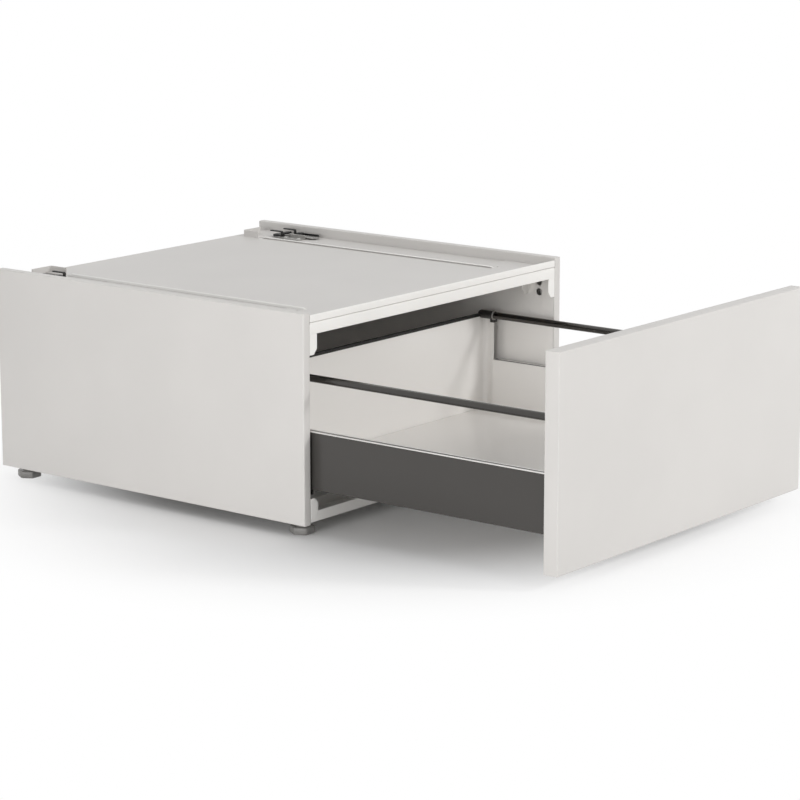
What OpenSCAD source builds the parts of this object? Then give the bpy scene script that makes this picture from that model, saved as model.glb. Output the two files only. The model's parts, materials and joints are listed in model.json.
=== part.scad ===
// Washer pedestal with a pull-out drawer.
// A folded sheet-steel casing stands on four levelling feet and carries a laundry machine on its
// recessed deck. A steel drawer with gallery rails runs in it on concealed roller runners.
// Drawn with the drawer pulled out to its stop. Units: millimetres, Z up, front towards -Y.

/* [Casing] */
// Width over the two side panels
casing_w = 597; // [500:1:700]
// Height of the side panels, without the feet
casing_h = 294.6; // [270:0.1:420]
// Depth of the side panels
casing_d = 584; // [560:1:700]
// Thickness of a double-skinned side panel
side_t = 14; // [12:0.5:18]
// Thickness of the outer sheet steel
skin_t = 1.2; // [1:0.1:1.5]
// Thickness of the inner lining sheets
lining_t = 1; // [0.8:0.1:1.2]
// Outer radius of the folded panel edges
fold_r = 1.8; // [1:0.1:2.5]
// Distance from the back sheet to the rear edge of the side panels
rear_recess = 15; // [10:1:30]

/* [Deck] */
// Depth of the deck below the top of the side panels
deck_drop = 13.1; // [11:0.1:16]
// Thickness of the deck sheet
deck_t = 1.5; // [1.2:0.1:2]
// Height of the front lip above the deck
lip_h = 9.1; // [6:0.1:10]
// Thickness of the hemmed front lip
lip_t = 3; // [2:0.1:4]
// Width of each track for the machine feet, from the inside of the casing
track_w = 65; // [50:1:80]
// Depth of the pressed foot tracks
track_drop = 1.2; // [0.5:0.1:1.4]
// Extra depth of the clamp's seat at the rear of a foot track
seat_drop = 0.3; // [0.1:0.1:0.5]
// Distance from the casing front to the start of a foot track
track_front = 93; // [70:1:120]
// Width of the guide rib beside each foot track
rib_w = 5; // [3:0.5:8]
// Height of the guide ribs
rib_h = 2.5; // [2:0.5:6]
// Distance from the casing front to the start of a guide rib
rib_front = 64; // [55:1:100]
// Width of the feet of the stop tabs at the rear ends of the ribs
stop_w = 14; // [10:1:20]
// Length of the stop tabs
stop_l = 32; // [20:1:40]
// Height of the stop tabs above the deck
stop_h = 9.6; // [6:0.1:12]
// Distance from the stop tabs to the rear edge of the deck
stop_gap = 13; // [6:1:20]
// Gap between the stop tabs and the side panels
stop_side_gap = 4; // [1:0.5:10]

/* [Rails] */
// Front-to-back size of the four cross rails
rail_d = 50; // [45:1:60]
// Height of the visible face of the upper cross rails
rail_face = 16; // [12:0.5:25]
// Height of the visible face of the lower cross rails
base_face = 14.5; // [12:0.5:20]
// Height of the lower cross rails above the bottom edge of the side panels
base_gap = 3.3; // [2:0.1:6]
// Sheet thickness of the cross rails
rail_t = 1.5; // [1.2:0.1:2]
// Width of the corner tabs of the rails
tab_w = 15.2; // [12:0.1:20]
// Length of the upper corner tabs below the rail
tab_drop = 28.5; // [20:0.5:40]
// Height of the lower corner brackets
bracket_h = 33.2; // [25:0.1:34]
// Diameter of the two round holes near the front of each side lining
lining_hole_d = 10.6; // [6:0.1:12]
// Pitch of the two round holes
lining_hole_pitch = 15; // [13:0.5:20]
// Width of the upright braces between skin and lining
brace_w = 30; // [20:1:40]

/* [Feet] */
// Height of the casing's bottom edge above the floor
foot_reach = 18; // [16:0.5:30]
// Size of a hexagonal foot over its corners
foot_w = 36; // [28:0.5:40]
// Height of a hexagonal foot
foot_h = 10.8; // [8:0.1:14]
// Distance of the foot axes from the outer faces of the casing
foot_inset = 28; // [24:0.5:31]
// Diameter of the foot's screw
foot_screw_d = 10; // [8:0.5:12]
// Radial running clearance of the screws and pins
running = 0.05; // [0.02:0.01:0.1]

/* [Drawer front] */
// Thickness of the hollow drawer front
front_t = 22.4; // [18:0.2:28]
// Height of the lower edge of the drawer front above the bottom edge of the casing
front_rise = 1.6; // [1:0.1:4]
// Gap between the closed drawer front and the casing
front_gap = 1.6; // [1.2:0.1:3]
// Sheet thickness of the drawer front
front_skin = 1; // [0.8:0.1:1.5]
// Width of the flange on the back of the drawer front
front_flange = 16; // [14:1:18]
// Width of the upright stiffeners inside the drawer front
stiffener_w = 40; // [20:1:80]
// Diameter of the rubber buffers
buffer_d = 8; // [6:0.5:12]
// Diameter of the screws that hold the drawer front
front_screw_d = 3.8; // [3:0.1:4]
// Length of the brackets in the front ends of the drawer sides
bracket_l = 48; // [30:1:80]

/* [Drawer] */
// Length of the drawer that stays in the casing when it is pulled out
drawer_stay = 119; // [110:1:200]
// Gap between the closed drawer's rear wall and the rear cross rails
drawer_rear_gap = 3; // [2:0.5:10]
// Distance of the drawer sides from the outer faces of the casing
drawer_inset = 18; // [18:0.5:20]
// Thickness of a double-skinned drawer side
drawer_side_t = 13; // [12.5:0.5:16]
// Lower edge of the drawer sides above the bottom edge of the casing
drawer_z = 48.8; // [48:0.1:60]
// Height of the drawer sides
drawer_side_h = 81.2; // [70:0.1:110]
// Sheet thickness of the drawer
drawer_sheet = 1; // [0.8:0.1:1.2]
// Height of the top of the drawer floor above the lower edge of the sides
floor_rise = 4.7; // [4.5:0.1:6]
// Height of the rear wall above the lower edge of the sides
back_h = 147.4; // [120:0.1:155]
// Length of the forward returns of the rear wall
back_return = 20; // [18:0.5:25]
// Inner radius of the bends between the rear wall and its returns
back_bend_r = 8; // [5:0.5:9]

/* [Gallery rails] */
// Diameter of the gallery tubes
tube_d = 10.5; // [8:0.1:12]
// Wall thickness of the gallery tubes
tube_wall = 1; // [0.8:0.1:1.5]
// Distance of the gallery tubes from the outer faces of the casing
tube_inset = 35.5; // [35:0.5:40]
// Height of the rear gallery bar
bar_h = 4.8; // [4:0.1:8]
// Thickness of the rear gallery bar
bar_t = 6; // [5:0.5:8]

/* [Runners] */
// Sheet thickness of the runner members
runner_t = 1.2; // [1:0.1:1.3]
// Height of the fixed member's shelf below the drawer side
runner_drop = 8.4; // [6:0.1:9]
// Height of the rollers' track above the lower edge of the drawer side
runner_rise = 14.4; // [13:0.1:18]
// Diameter of the runner's rollers
roller_d = 5.4; // [5:0.1:5.5]
// Number of rollers in one carriage
roller_count = 5; // [3:1:8]
// Gap between the moving parts of a runner
runner_play = 0.3; // [0.2:0.05:0.4]
// Distance of the outer runner screws from the ends of the fixed member
runner_screw_inset = 35; // [20:1:60]
// Diameter of the runner screws
runner_screw_d = 4; // [3:0.5:5]

/* [Foot clamps] */
// Distance of the clamp screws from the outer faces of the casing
clamp_inset = 34; // [30:0.5:40]
// Distance of the clamp screws from the rear edge of the side panels
clamp_back = 104; // [100:1:140]
// Travel of the clamp jaws either way
clamp_travel = 8; // [4:0.5:9]
// Height of the clamp's prongs above the deck
prong_rise = 9.6; // [8:0.2:14]
// Thickness of the clamp's steel strip
clamp_t = 1.8; // [1.5:0.1:2.5]
// Length of a clamp's base plate
clamp_plate_l = 40; // [30:1:50]
// Diameter of the clamp screws
clamp_screw_d = 6; // [5:0.5:8]
// Diameter of the rivets in a clamp's base plate
rivet_d = 3; // [2.4:0.2:4]

/* [Hidden] */
$fn = 48;

white = [0.87, 0.87, 0.85];
lining_white = [0.78, 0.77, 0.76];
rail_white = [0.9, 0.9, 0.88];
dark_steel = [0.16, 0.16, 0.15];
zinc = [0.62, 0.62, 0.6];
black = [0.06, 0.06, 0.06];
chrome = [0.42, 0.41, 0.4];
foot_grey = [0.6, 0.59, 0.58];

// Places along the depth, from the front edges of the side panels
over = 1;
back_y = casing_d - rear_recess;
rear_rail_y = back_y - rail_d;
drawer_l = rear_rail_y + front_gap - drawer_sheet - drawer_rear_gap;
drawer_out = drawer_l - drawer_stay;
drawer_travel = drawer_out - front_gap;
casing_front_y = (drawer_out + front_t - casing_d) / 2;
front_h = casing_h - front_rise;

// Deck and rails
inner_w = casing_w - 2 * side_t;
deck_z = casing_h - deck_drop;
rail_top = deck_z - deck_t;
rail_low = rail_top - rail_face;
tab_low = rail_low - tab_drop;
window_edge = 2.6;
tab_step = 0.4;
tab_chamfer = [6.6, 8];
track_rear = rear_rail_y - 2 * deck_t;
rib_rear = track_rear;
rib_ramp = 5;
deck_hole_d = 5;
deck_hole_x = 67;
deck_hole_y = 68;
end_gap = 0.5;
lining_hole_y = rail_d / 2 + 3.5;
lining_hole_z = tab_low + 4.5;

// Feet
foot_y = [foot_inset, casing_d - foot_inset];
foot_nut_h = 8;
foot_nut_w = 19;
screw_over_nut = 6;
screw_slack = 1;

// Drawer sides, in distances from the casing's outer face
side_in = drawer_inset + drawer_side_t;
side_l = drawer_l - back_return - 0.4;
side_gap_x = side_in - 3.4;
groove = 1;
hem_w = 3;
cap_lip = 6.5;
lining_sink = 0.5;
floor_z = drawer_z + floor_rise;
back_top = drawer_z + back_h;
back_x = side_in - 3;
flange_z = floor_z - drawer_sheet;
flange_w = 12;
floor_seam = 1;
member_clear = 26;
bracket_z = [drawer_z + member_clear, drawer_z + drawer_side_h - 10];
bracket_t = 2;
front_screw_x = drawer_inset + 7;
front_screw_z = [bracket_z[0] + 10, bracket_z[1] - 10];
front_screw_l = 9;
front_screw_head = [6.4, 2];
buffer_z = 30;
stiffener_gap = 8;
clip_l = 18;
clip_top = drawer_z + drawer_side_h - 9;
floor_lap = 4;

// Gallery
tube_z = back_top + 3.2;
tube_ends = [2, drawer_l - 6];
socket_l = 14;
socket_flange_t = 2;
connector_r = tube_d / 2 + 1.1;
collar_r = tube_d / 2 + 2;
collar_l = 3;
connector_l = 23;
connector_front = drawer_l - connector_l;
saddle_w = 15;
saddle_t = 3;
saddle_h = 7;
bar_r = 0.8;

// Runners, in distances from the casing's outer face
shelf_z = drawer_z - runner_drop;
track_top = drawer_z + runner_rise;
roller_z = track_top + runner_play + roller_d / 2;
web_z = roller_z + roller_d / 2 + runner_play;
lip_z = track_top - 2 * runner_t - 1.5 * runner_play;
hollow_x = [drawer_inset + drawer_sheet, side_in - drawer_sheet];
riser_x = (hollow_x[0] + hollow_x[1] - runner_t) / 2;
head_gap = 0.3;
head_w = 2 * (back_x - drawer_sheet - head_gap - riser_x) - runner_t;
runner_y = 3;
runner_end_gap = 5;
runner_l = side_l - front_gap - runner_y - runner_end_gap;
member_y = [1, side_l - 1];
carriage_l = member_y[1] - drawer_out - runner_y - 4;
carriage_y = runner_y + 2;
roller_w = 3;
cage_w = 5.6;
cage_h = 2;
cage_edge = 0.9;
ear_h = 20;
ear_l = 26;
runner_screw_y = [runner_screw_inset, runner_l / 2, runner_l - runner_screw_inset];
runner_screw_z = track_top + ear_h / 2;
runner_screw_l = 8;
runner_screw_head = [7, 1.8];
member_lip = 1.2;
axle_d = 1.2;

// Foot clamps, in distances from their screws
clamp_y = casing_d - clamp_back;
track_z = deck_z - track_drop;
seat_z = track_z - seat_drop;
tongue_w = 18;
clamp_margin = 10;
tongue_front = -28;
cross_y = 31;
cross_x = [-8, 22];
cross_w = 10;
cross_hole_d = 4;
prong_w = 5;
prong_x = [-6, 12];
prong_l = 23;
prong_sink = 0.4;
seat_front = tongue_front - tongue_w / 2 - clamp_margin;
prong_z = deck_z + prong_rise - seat_z;
guide_gap = 0.5;
guide_h = 6.5;
guide_l = 34;
plate_lap = 18;
rivet_x = tongue_w / 2 + 10.5;
rivet_y = [-14, 14];
rivet_head = [6, 4, 1.4];
clamp_head = [12.5, 4.5];
clamp_nut = [11.5, 4.9];
clamp_nut_z = -deck_t - 5;

// Steel body of a box between two corners
module block(x, y, z) {
    translate([x[0], y[0], z[0]])
        cube([x[1] - x[0], y[1] - y[0], z[1] - z[0]]);
}

// Rectangle with true round corners, one corner of its box at the origin
module rounded_rect(w, h, r) {
    translate([r, 0]) square([w - 2 * r, h]);
    translate([0, r]) square([w, h - 2 * r]);
    for (x = [r, w - r], y = [r, h - r])
        translate([x, y]) circle(r);
}

// Sweeps an outline drawn in X and Z along Y
module along_y(y) {
    translate([0, y[1], 0]) rotate([90, 0, 0]) linear_extrude(y[1] - y[0]) children();
}

// Sweeps an outline drawn in Y and Z along X
module along_x(x) {
    translate([x[0], 0, 0]) rotate([90, 0, 90]) linear_extrude(x[1] - x[0]) children();
}

// Box with round edges all round its front and back faces
module rounded_block(size, r) {
    intersection() {
        linear_extrude(size[2]) rounded_rect(size[0], size[1], r);
        along_x([0, size[0]]) rounded_rect(size[1], size[2], r);
    }
}

// Frames of reference: casing middle, its left and right side, and the same on the drawer
module in_casing() {
    translate([0, casing_front_y, foot_reach]) children();
}
module from_left() {
    translate([-casing_w / 2, 0, 0]) children();
}
module from_right() {
    mirror([1, 0, 0]) from_left() children();
}
module on_both_sides() {
    from_left() children();
    from_right() children();
}
module in_drawer() {
    translate([0, casing_front_y - drawer_out, foot_reach]) children();
}

// ---- Casing ----

// Outer skin of a side: a folded box, open inside where the lining sits
module side_panel() {
    difference() {
        intersection() {
            along_y([0, casing_d]) rounded_rect(side_t, casing_h, fold_r);
            linear_extrude(casing_h) rounded_rect(side_t, casing_d, fold_r);
        }
        block([skin_t, side_t - skin_t], [skin_t, casing_d - skin_t], [skin_t, casing_h - skin_t]);
        block([side_t - 2 * skin_t, side_t + over], [window_edge, back_y], [base_gap, rail_low]);
    }
}
module side_panel_left() {
    color(white) in_casing() from_left() side_panel();
}
module side_panel_right() {
    color(white) in_casing() from_right() side_panel();
}

// Lining sheet that closes the side, with the runner's screw holes and two round holes
module side_lining() {
    difference() {
        block([side_t - lining_t, side_t], [window_edge, back_y], [base_gap, rail_low]);
        for (i = [0, 1])
            translate([0, lining_hole_y, lining_hole_z + i * lining_hole_pitch])
                rotate([0, 90, 0]) cylinder(h = 2 * side_t, d = lining_hole_d);
        for (y = runner_screw_y)
            translate([0, runner_y + y, runner_screw_z]) rotate([0, 90, 0])
                cylinder(h = 2 * side_t, d = runner_screw_d + 2 * running);
    }
}
module side_lining_left() {
    color(lining_white) in_casing() from_left() side_lining();
}
module side_lining_right() {
    color(lining_white) in_casing() from_right() side_lining();
}

// Upright channels that tie each skin to its lining, between the runner screws
module side_braces() {
    middles = [for (i = [0, 1]) (runner_screw_y[i] + runner_screw_y[i + 1]) / 2];
    color(zinc) in_casing() on_both_sides()
        for (y = concat(middles, [back_y - brace_w]))
            difference() {
                block([skin_t, side_t - lining_t], [y - brace_w / 2, y + brace_w / 2],
                    [base_gap, rail_low]);
                block([0, side_t - lining_t - skin_t],
                    [y - brace_w / 2 + skin_t, y + brace_w / 2 - skin_t], [0, rail_low + over]);
            }
}

// Guide rib with a ramped front end
module guide_rib() {
    along_x([side_t + track_w, side_t + track_w + rib_w])
        polygon([[rib_front, deck_z - deck_t / 2], [rib_front, deck_z],
            [rib_front + rib_ramp, deck_z + rib_h], [rib_rear - rib_ramp, deck_z + rib_h],
            [rib_rear, deck_z], [rib_rear, deck_z - deck_t / 2]]);
}

// Hemmed front lip, rounded along its top and bottom
module front_lip() {
    along_x([-inner_w / 2 + end_gap, inner_w / 2 - end_gap])
        translate([0, rail_top]) rounded_rect(lip_t, deck_t + lip_h, deck_t / 2);
}

// Floor of a pressed foot track, a little deeper where the clamp is riveted on
module foot_track() {
    seat_y = clamp_y + seat_front;
    block([side_t, side_t + track_w + deck_t], [track_front - deck_t, seat_y],
        [track_z - deck_t, track_z]);
    block([side_t, side_t + track_w + deck_t], [seat_y, track_rear + deck_t],
        [seat_z - deck_t, seat_z]);
}

// Recessed deck with pressed foot tracks, guide ribs and a hemmed front lip
module deck_panel() {
    color(white) in_casing() difference() {
        union() {
            difference() {
                block([-inner_w / 2, inner_w / 2], [deck_t / 2, back_y], [rail_top, deck_z]);
                on_both_sides()
                    block([side_t - over, side_t + track_w], [track_front, track_rear],
                        [rail_top - over, deck_z + over]);
            }
            on_both_sides() {
                foot_track();
                guide_rib();
            }
            front_lip();
        }
        on_both_sides() {
            translate([deck_hole_x, deck_hole_y, 0]) cylinder(h = casing_h, d = deck_hole_d);
            translate([clamp_inset, clamp_y, 0])
                cylinder(h = casing_h, d = clamp_screw_d + screw_slack);
        }
    }
}

// Stops round the rear ends of the foot tracks: a side wall in line with the rib, a rear wall
// across the track and a foot that is spot-welded to the deck
module rear_stops() {
    x = side_t + track_w + rib_w;
    y = back_y - stop_gap;
    color(white) in_casing() on_both_sides() {
        block([x - stop_w, x - deck_t], [y - stop_l, y - deck_t], [deck_z, deck_z + deck_t]);
        along_x([x - deck_t, x])
            translate([y - stop_l, deck_z]) rounded_rect(stop_l, stop_h, deck_t);
        block([side_t + stop_side_gap, x - deck_t], [y - deck_t, y], [deck_z, deck_z + stop_h]);
    }
}

// ---- Cross rails ----

// Upper rail: channel open below, with a chamfered tab at each end of both webs
module upper_rail(y, tab_y) {
    block([-inner_w / 2, inner_w / 2], [y, y + rail_d], [rail_top - rail_t, rail_top]);
    for (web_y = [y, y + rail_d - rail_t])
        translate([-inner_w / 2, 0, 0]) along_y([web_y, web_y + rail_t])
            translate([0, rail_low]) square([inner_w, rail_face]);
    for (web_y = tab_y)
        on_both_sides() along_y([web_y, web_y + rail_t - tab_step])
            translate([side_t, 0])
                polygon([[0, tab_low], [tab_w - tab_chamfer[0], tab_low],
                    [tab_w, tab_low + tab_chamfer[1]], [tab_w, rail_top], [0, rail_top]]);
}
module front_rail() {
    color(rail_white) in_casing() upper_rail(0, [tab_step, rail_d - rail_t]);
}
module rear_rail() {
    color(rail_white) in_casing()
        upper_rail(rear_rail_y, [rear_rail_y + tab_step, back_y - rail_t]);
}

// Lower rail: channel open above, its visible web mitred into the corner brackets
module lower_rail(y) {
    difference() {
        union() {
            block([-inner_w / 2, inner_w / 2], [y, y + rail_d], [base_gap, base_gap + rail_t]);
            for (web_y = [y, y + rail_d - rail_t])
                translate([-inner_w / 2, 0, 0]) along_y([web_y, web_y + rail_t])
                    translate([0, base_gap])
                        polygon([[0, 0], [inner_w, 0], [inner_w - base_face, base_face],
                            [base_face, base_face]]);
        }
        on_both_sides() translate([foot_inset, y + foot_place(y), 0])
            cylinder(h = casing_h, d = foot_screw_d + screw_slack);
    }
}

// Distance of a foot axis from the front edge of its lower rail
function foot_place(y) = y == 0 ? foot_inset : casing_d - foot_inset - y;

module base_front_rail() {
    color(rail_white) in_casing() lower_rail(0);
}
module base_rear_rail() {
    color(rail_white) in_casing() lower_rail(rear_rail_y);
}

// Upright brackets in the lower corners, mitred to the webs of the lower rails
module corner_bracket(y) {
    for (web_y = [y, y + rail_d - rail_t])
        along_y([web_y, web_y + rail_t]) translate([side_t, base_gap])
            polygon([[0, rail_t], [rail_t, rail_t], [base_face, base_face], [tab_w, base_face],
                [tab_w, bracket_h - tab_chamfer[0]], [tab_w - tab_chamfer[1], bracket_h],
                [0, bracket_h]]);
    block([side_t, side_t + rail_t], [y + rail_t, y + rail_d - rail_t],
        [base_gap + rail_t, base_gap + bracket_h]);
}
module corner_brackets() {
    color(rail_white) in_casing() on_both_sides() {
        corner_bracket(0);
        corner_bracket(rear_rail_y);
    }
}

// Back sheet on the outer webs of the rear rails
module back_panel() {
    color(lining_white) in_casing()
        block([-inner_w / 2, inner_w / 2], [back_y, back_y + lining_t], [base_gap, rail_top]);
}

// ---- Feet ----

// Hexagonal foot with its levelling screw
module foot(y) {
    translate([foot_inset, y, -foot_reach]) {
        cylinder(h = foot_h, d = foot_w, $fn = 6);
        cylinder(h = foot_reach + base_gap + rail_t + foot_nut_h + screw_over_nut,
            d = foot_screw_d);
    }
}
module foot_front_left() {
    color(foot_grey) in_casing() from_left() foot(foot_y[0]);
}
module foot_front_right() {
    color(foot_grey) in_casing() from_right() foot(foot_y[0]);
}
module foot_rear_left() {
    color(foot_grey) in_casing() from_left() foot(foot_y[1]);
}
module foot_rear_right() {
    color(foot_grey) in_casing() from_right() foot(foot_y[1]);
}

// Weld nuts that hold the levelling screws in the lower rails
module foot_nuts() {
    color(zinc) in_casing() on_both_sides()
        for (y = foot_y)
            translate([foot_inset, y, base_gap + rail_t]) difference() {
                cylinder(h = foot_nut_h, d = foot_nut_w, $fn = 6);
                translate([0, 0, -over])
                    cylinder(h = foot_nut_h + 2 * over, d = foot_screw_d + 2 * running);
            }
}

// ---- Foot clamps ----

// Strip with round ends between two points
module slot_outline(a, b, w) {
    len_y = b[1] - a[1];
    len_x = b[0] - a[0];
    translate(a) circle(d = w);
    translate(b) circle(d = w);
    translate([a[0] - (len_x == 0 ? w / 2 : 0), a[1] - (len_y == 0 ? w / 2 : 0)])
        square([len_x == 0 ? w : len_x, len_y == 0 ? w : len_y]);
}

// Base plate riveted into the foot track, with upturned guide edges for the jaw
module clamp_plate() {
    half = tongue_w / 2 + guide_gap;
    plate_y = [-clamp_plate_l / 2, clamp_plate_l / 2];
    translate([clamp_inset, clamp_y, seat_z]) difference() {
        union() {
            block([-half - clamp_t, half + plate_lap], plate_y, [0, clamp_t]);
            for (x = [-half - clamp_t, half])
                block([x, x + clamp_t], [plate_y[0], plate_y[0] + guide_l], [0, guide_h]);
        }
        translate([0, 0, -over]) cylinder(h = guide_h, d = clamp_screw_d + 2 * running);
        for (y = rivet_y)
            translate([rivet_x, y, -over]) cylinder(h = guide_h, d = rivet_d + 2 * running);
    }
}
module clamp_plate_left() {
    color(zinc) in_casing() from_left() clamp_plate();
}
module clamp_plate_right() {
    color(zinc) in_casing() from_right() clamp_plate();
}

// Sliding jaw: slotted tongue, cross bar with a locating hole, and two raised prongs
module clamp_jaw() {
    low = clamp_t + running;
    post_y = cross_y + cross_w / 2 - clamp_t - prong_sink;
    translate([clamp_inset, clamp_y, seat_z + low]) {
        difference() {
            union() {
                linear_extrude(clamp_t) slot_outline([0, tongue_front], [0, cross_y], tongue_w);
                linear_extrude(2 * clamp_t)
                    slot_outline([cross_x[0], cross_y], [cross_x[1], cross_y], cross_w);
            }
            translate([0, 0, -over]) linear_extrude(3 * clamp_t)
                slot_outline([0, -clamp_travel], [0, clamp_travel], clamp_screw_d + screw_slack);
            translate([cross_x[1], cross_y, -over]) cylinder(h = 4 * clamp_t, d = cross_hole_d);
        }
        for (x = prong_x) {
            block([x, x + prong_w], [post_y, post_y + clamp_t], [clamp_t, prong_z - low]);
            block([x, x + prong_w], [post_y + clamp_t - prong_l, post_y + clamp_t],
                [prong_z - low - clamp_t, prong_z - low]);
        }
    }
}
module clamp_jaw_left() {
    color(black) in_casing() from_left() clamp_jaw();
}
module clamp_jaw_right() {
    color(black) in_casing() from_right() clamp_jaw();
}

// Hexagon screw through the jaw's slot, with a nut under the deck
module clamp_screw() {
    head_z = 2 * (clamp_t + running);
    translate([clamp_inset, clamp_y, seat_z]) {
        translate([0, 0, head_z]) cylinder(h = clamp_head[1], d = clamp_head[0], $fn = 6);
        translate([0, 0, clamp_nut_z - deck_t])
            cylinder(h = head_z + deck_t - clamp_nut_z, d = clamp_screw_d);
        translate([0, 0, clamp_nut_z]) cylinder(h = clamp_nut[1], d = clamp_nut[0], $fn = 6);
    }
}
module clamp_screw_left() {
    color(black) in_casing() from_left() clamp_screw();
}
module clamp_screw_right() {
    color(black) in_casing() from_right() clamp_screw();
}

// Rivets of the clamp plates
module clamp_rivets() {
    color(zinc) in_casing() on_both_sides()
        for (y = rivet_y)
            translate([clamp_inset + rivet_x, clamp_y + y, seat_z]) {
                cylinder(h = clamp_t, d = rivet_d);
                translate([0, 0, clamp_t])
                    cylinder(h = rivet_head[2], d1 = rivet_head[0], d2 = rivet_head[1]);
            }
}

// ---- Runners ----

// Fixed member: its shelf passes under the drawer side and rises into it to a T-shaped track
module runner_cabinet() {
    difference() {
        union() {
            along_y([runner_y, runner_y + runner_l]) {
                translate([side_t, shelf_z]) square([runner_t, track_top - shelf_z]);
                translate([side_t, shelf_z])
                    square([riser_x + runner_t - side_t, runner_t]);
                translate([riser_x, shelf_z]) square([runner_t, track_top - shelf_z]);
                translate([riser_x + (runner_t - head_w) / 2, track_top - runner_t])
                    square([head_w, runner_t]);
            }
            for (y = runner_screw_y)
                block([side_t, side_t + runner_t],
                    [runner_y + y - ear_l / 2, runner_y + y + ear_l / 2],
                    [track_top, track_top + ear_h]);
        }
        for (y = runner_screw_y)
            translate([0, runner_y + y, runner_screw_z]) rotate([0, 90, 0])
                cylinder(h = 2 * side_t, d = runner_screw_d + 2 * running);
    }
}
module runner_cabinet_left() {
    color(zinc) in_casing() from_left() runner_cabinet();
}
module runner_cabinet_right() {
    color(zinc) in_casing() from_right() runner_cabinet();
}

// Pan-head screws that hold the fixed members to the side linings
module runner_screws() {
    color(zinc) in_casing() on_both_sides()
        for (y = runner_screw_y)
            translate([side_t, runner_y + y, runner_screw_z]) rotate([0, 90, 0]) {
                translate([0, 0, -runner_screw_l])
                    cylinder(h = runner_screw_l + runner_t, d = runner_screw_d);
                translate([0, 0, runner_t])
                    cylinder(h = runner_screw_head[1], d = runner_screw_head[0]);
            }
}

// Places of the rollers along a carriage
function roller_y(i) = carriage_y + (i + 0.5) * carriage_l / roller_count;

// Roller cage: it travels half as far as the drawer
module runner_carriage() {
    slot_l = roller_d + 1;
    middle = riser_x + runner_t / 2;
    difference() {
        block([middle - cage_w / 2, middle + cage_w / 2], [carriage_y, carriage_y + carriage_l],
            [roller_z - cage_h / 2, roller_z + cage_h / 2]);
        for (i = [0 : roller_count - 1])
            block([middle - cage_w / 2 + cage_edge, middle + cage_w / 2 - cage_edge],
                [roller_y(i) - slot_l / 2, roller_y(i) + slot_l / 2],
                [roller_z - cage_h, roller_z + cage_h]);
    }
}
module runner_carriage_left() {
    color(black) in_casing() from_left() runner_carriage();
}
module runner_carriage_right() {
    color(black) in_casing() from_right() runner_carriage();
}

// Rollers with the axle stubs that meet the cage
module runner_rollers() {
    for (i = [0 : roller_count - 1])
        translate([riser_x + runner_t / 2, roller_y(i), roller_z]) rotate([0, 90, 0]) {
            cylinder(h = roller_w, d = roller_d, center = true);
            cylinder(h = cage_w - 2 * cage_edge, d = axle_d, center = true);
        }
}
module runner_rollers_left() {
    color(rail_white) in_casing() from_left() runner_rollers();
}
module runner_rollers_right() {
    color(rail_white) in_casing() from_right() runner_rollers();
}

// Drawer member: a C-channel in the drawer side that rides on the rollers, its lips under the track
module runner_drawer() {
    lip_w = (hollow_x[1] - hollow_x[0] - head_w) / 2 + member_lip;
    along_y(member_y) {
        translate([hollow_x[0], web_z]) square([hollow_x[1] - hollow_x[0], runner_t]);
        for (x = [hollow_x[0], hollow_x[1] - runner_t])
            translate([x, lip_z]) square([runner_t, web_z - lip_z]);
        for (x = [hollow_x[0], hollow_x[1] - lip_w])
            translate([x, lip_z]) square([lip_w, runner_t]);
    }
}
module runner_drawer_left() {
    color(zinc) in_drawer() from_left() runner_drawer();
}
module runner_drawer_right() {
    color(zinc) in_drawer() from_right() runner_drawer();
}

// ---- Drawer front ----

// Outer skin of the hollow drawer front, with a flange round its back
module drawer_front_shell() {
    inside = [casing_w - 2 * front_skin, front_h - 2 * front_skin];
    window = [casing_w - 2 * front_flange, front_h - 2 * front_flange];
    color(white) in_drawer() translate([-casing_w / 2, -front_t, front_rise]) difference() {
        rounded_block([casing_w, front_t, front_h], fold_r);
        translate([front_skin, front_skin, front_skin])
            cube([inside[0], front_t - 2 * front_skin, inside[1]]);
        translate([front_flange, front_t / 2, front_flange])
            cube([window[0], front_t, window[1]]);
    }
}

// Lining sheet in the back of the drawer front, drilled for the bracket screws
module drawer_front_lining() {
    color(lining_white) in_drawer() difference() {
        block([-casing_w / 2 + front_flange, casing_w / 2 - front_flange],
            [-front_skin, 0], [front_rise + front_flange, front_rise + front_h - front_flange]);
        on_both_sides() for (z = front_screw_z)
            translate([front_screw_x, 0, z]) rotate([90, 0, 0])
                cylinder(h = 3 * front_skin, d = front_screw_d + 2 * running, center = true);
    }
}

// Upright channels inside the drawer front, behind the bracket screws
module drawer_front_stiffeners() {
    x = [front_screw_x + stiffener_gap, front_screw_x + stiffener_gap + stiffener_w];
    color(zinc) in_drawer() on_both_sides() difference() {
        block(x, [front_skin - front_t, -front_skin],
            [front_rise + front_flange, front_rise + front_h - front_flange]);
        block([x[0] + skin_t, x[1] - skin_t], [-front_t, -front_skin - skin_t], [0, casing_h]);
    }
}

// Rubber buffers that meet the front edges of the casing
module front_buffers() {
    color(black) in_drawer() on_both_sides()
        for (z = [front_rise + buffer_z, front_rise + front_h - buffer_z])
            translate([side_t / 2, 0, z]) rotate([-90, 0, 0])
                cylinder(h = front_gap - 4 * running, d = buffer_d);
}

// ---- Drawer ----

// Angle bracket inside the front end of a drawer side
module front_bracket() {
    x0 = drawer_inset + drawer_sheet;
    difference() {
        union() {
            block([x0, x0 + bracket_t], [0, bracket_l], bracket_z);
            block([x0, side_in - 2 * drawer_sheet], [0, bracket_t], bracket_z);
        }
        for (z = front_screw_z)
            translate([front_screw_x, 0, z]) rotate([90, 0, 0])
                cylinder(h = 3 * bracket_t, d = front_screw_d + 2 * running, center = true);
    }
}
module front_bracket_left() {
    color(zinc) in_drawer() from_left() front_bracket();
}
module front_bracket_right() {
    color(zinc) in_drawer() from_right() front_bracket();
}

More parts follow.
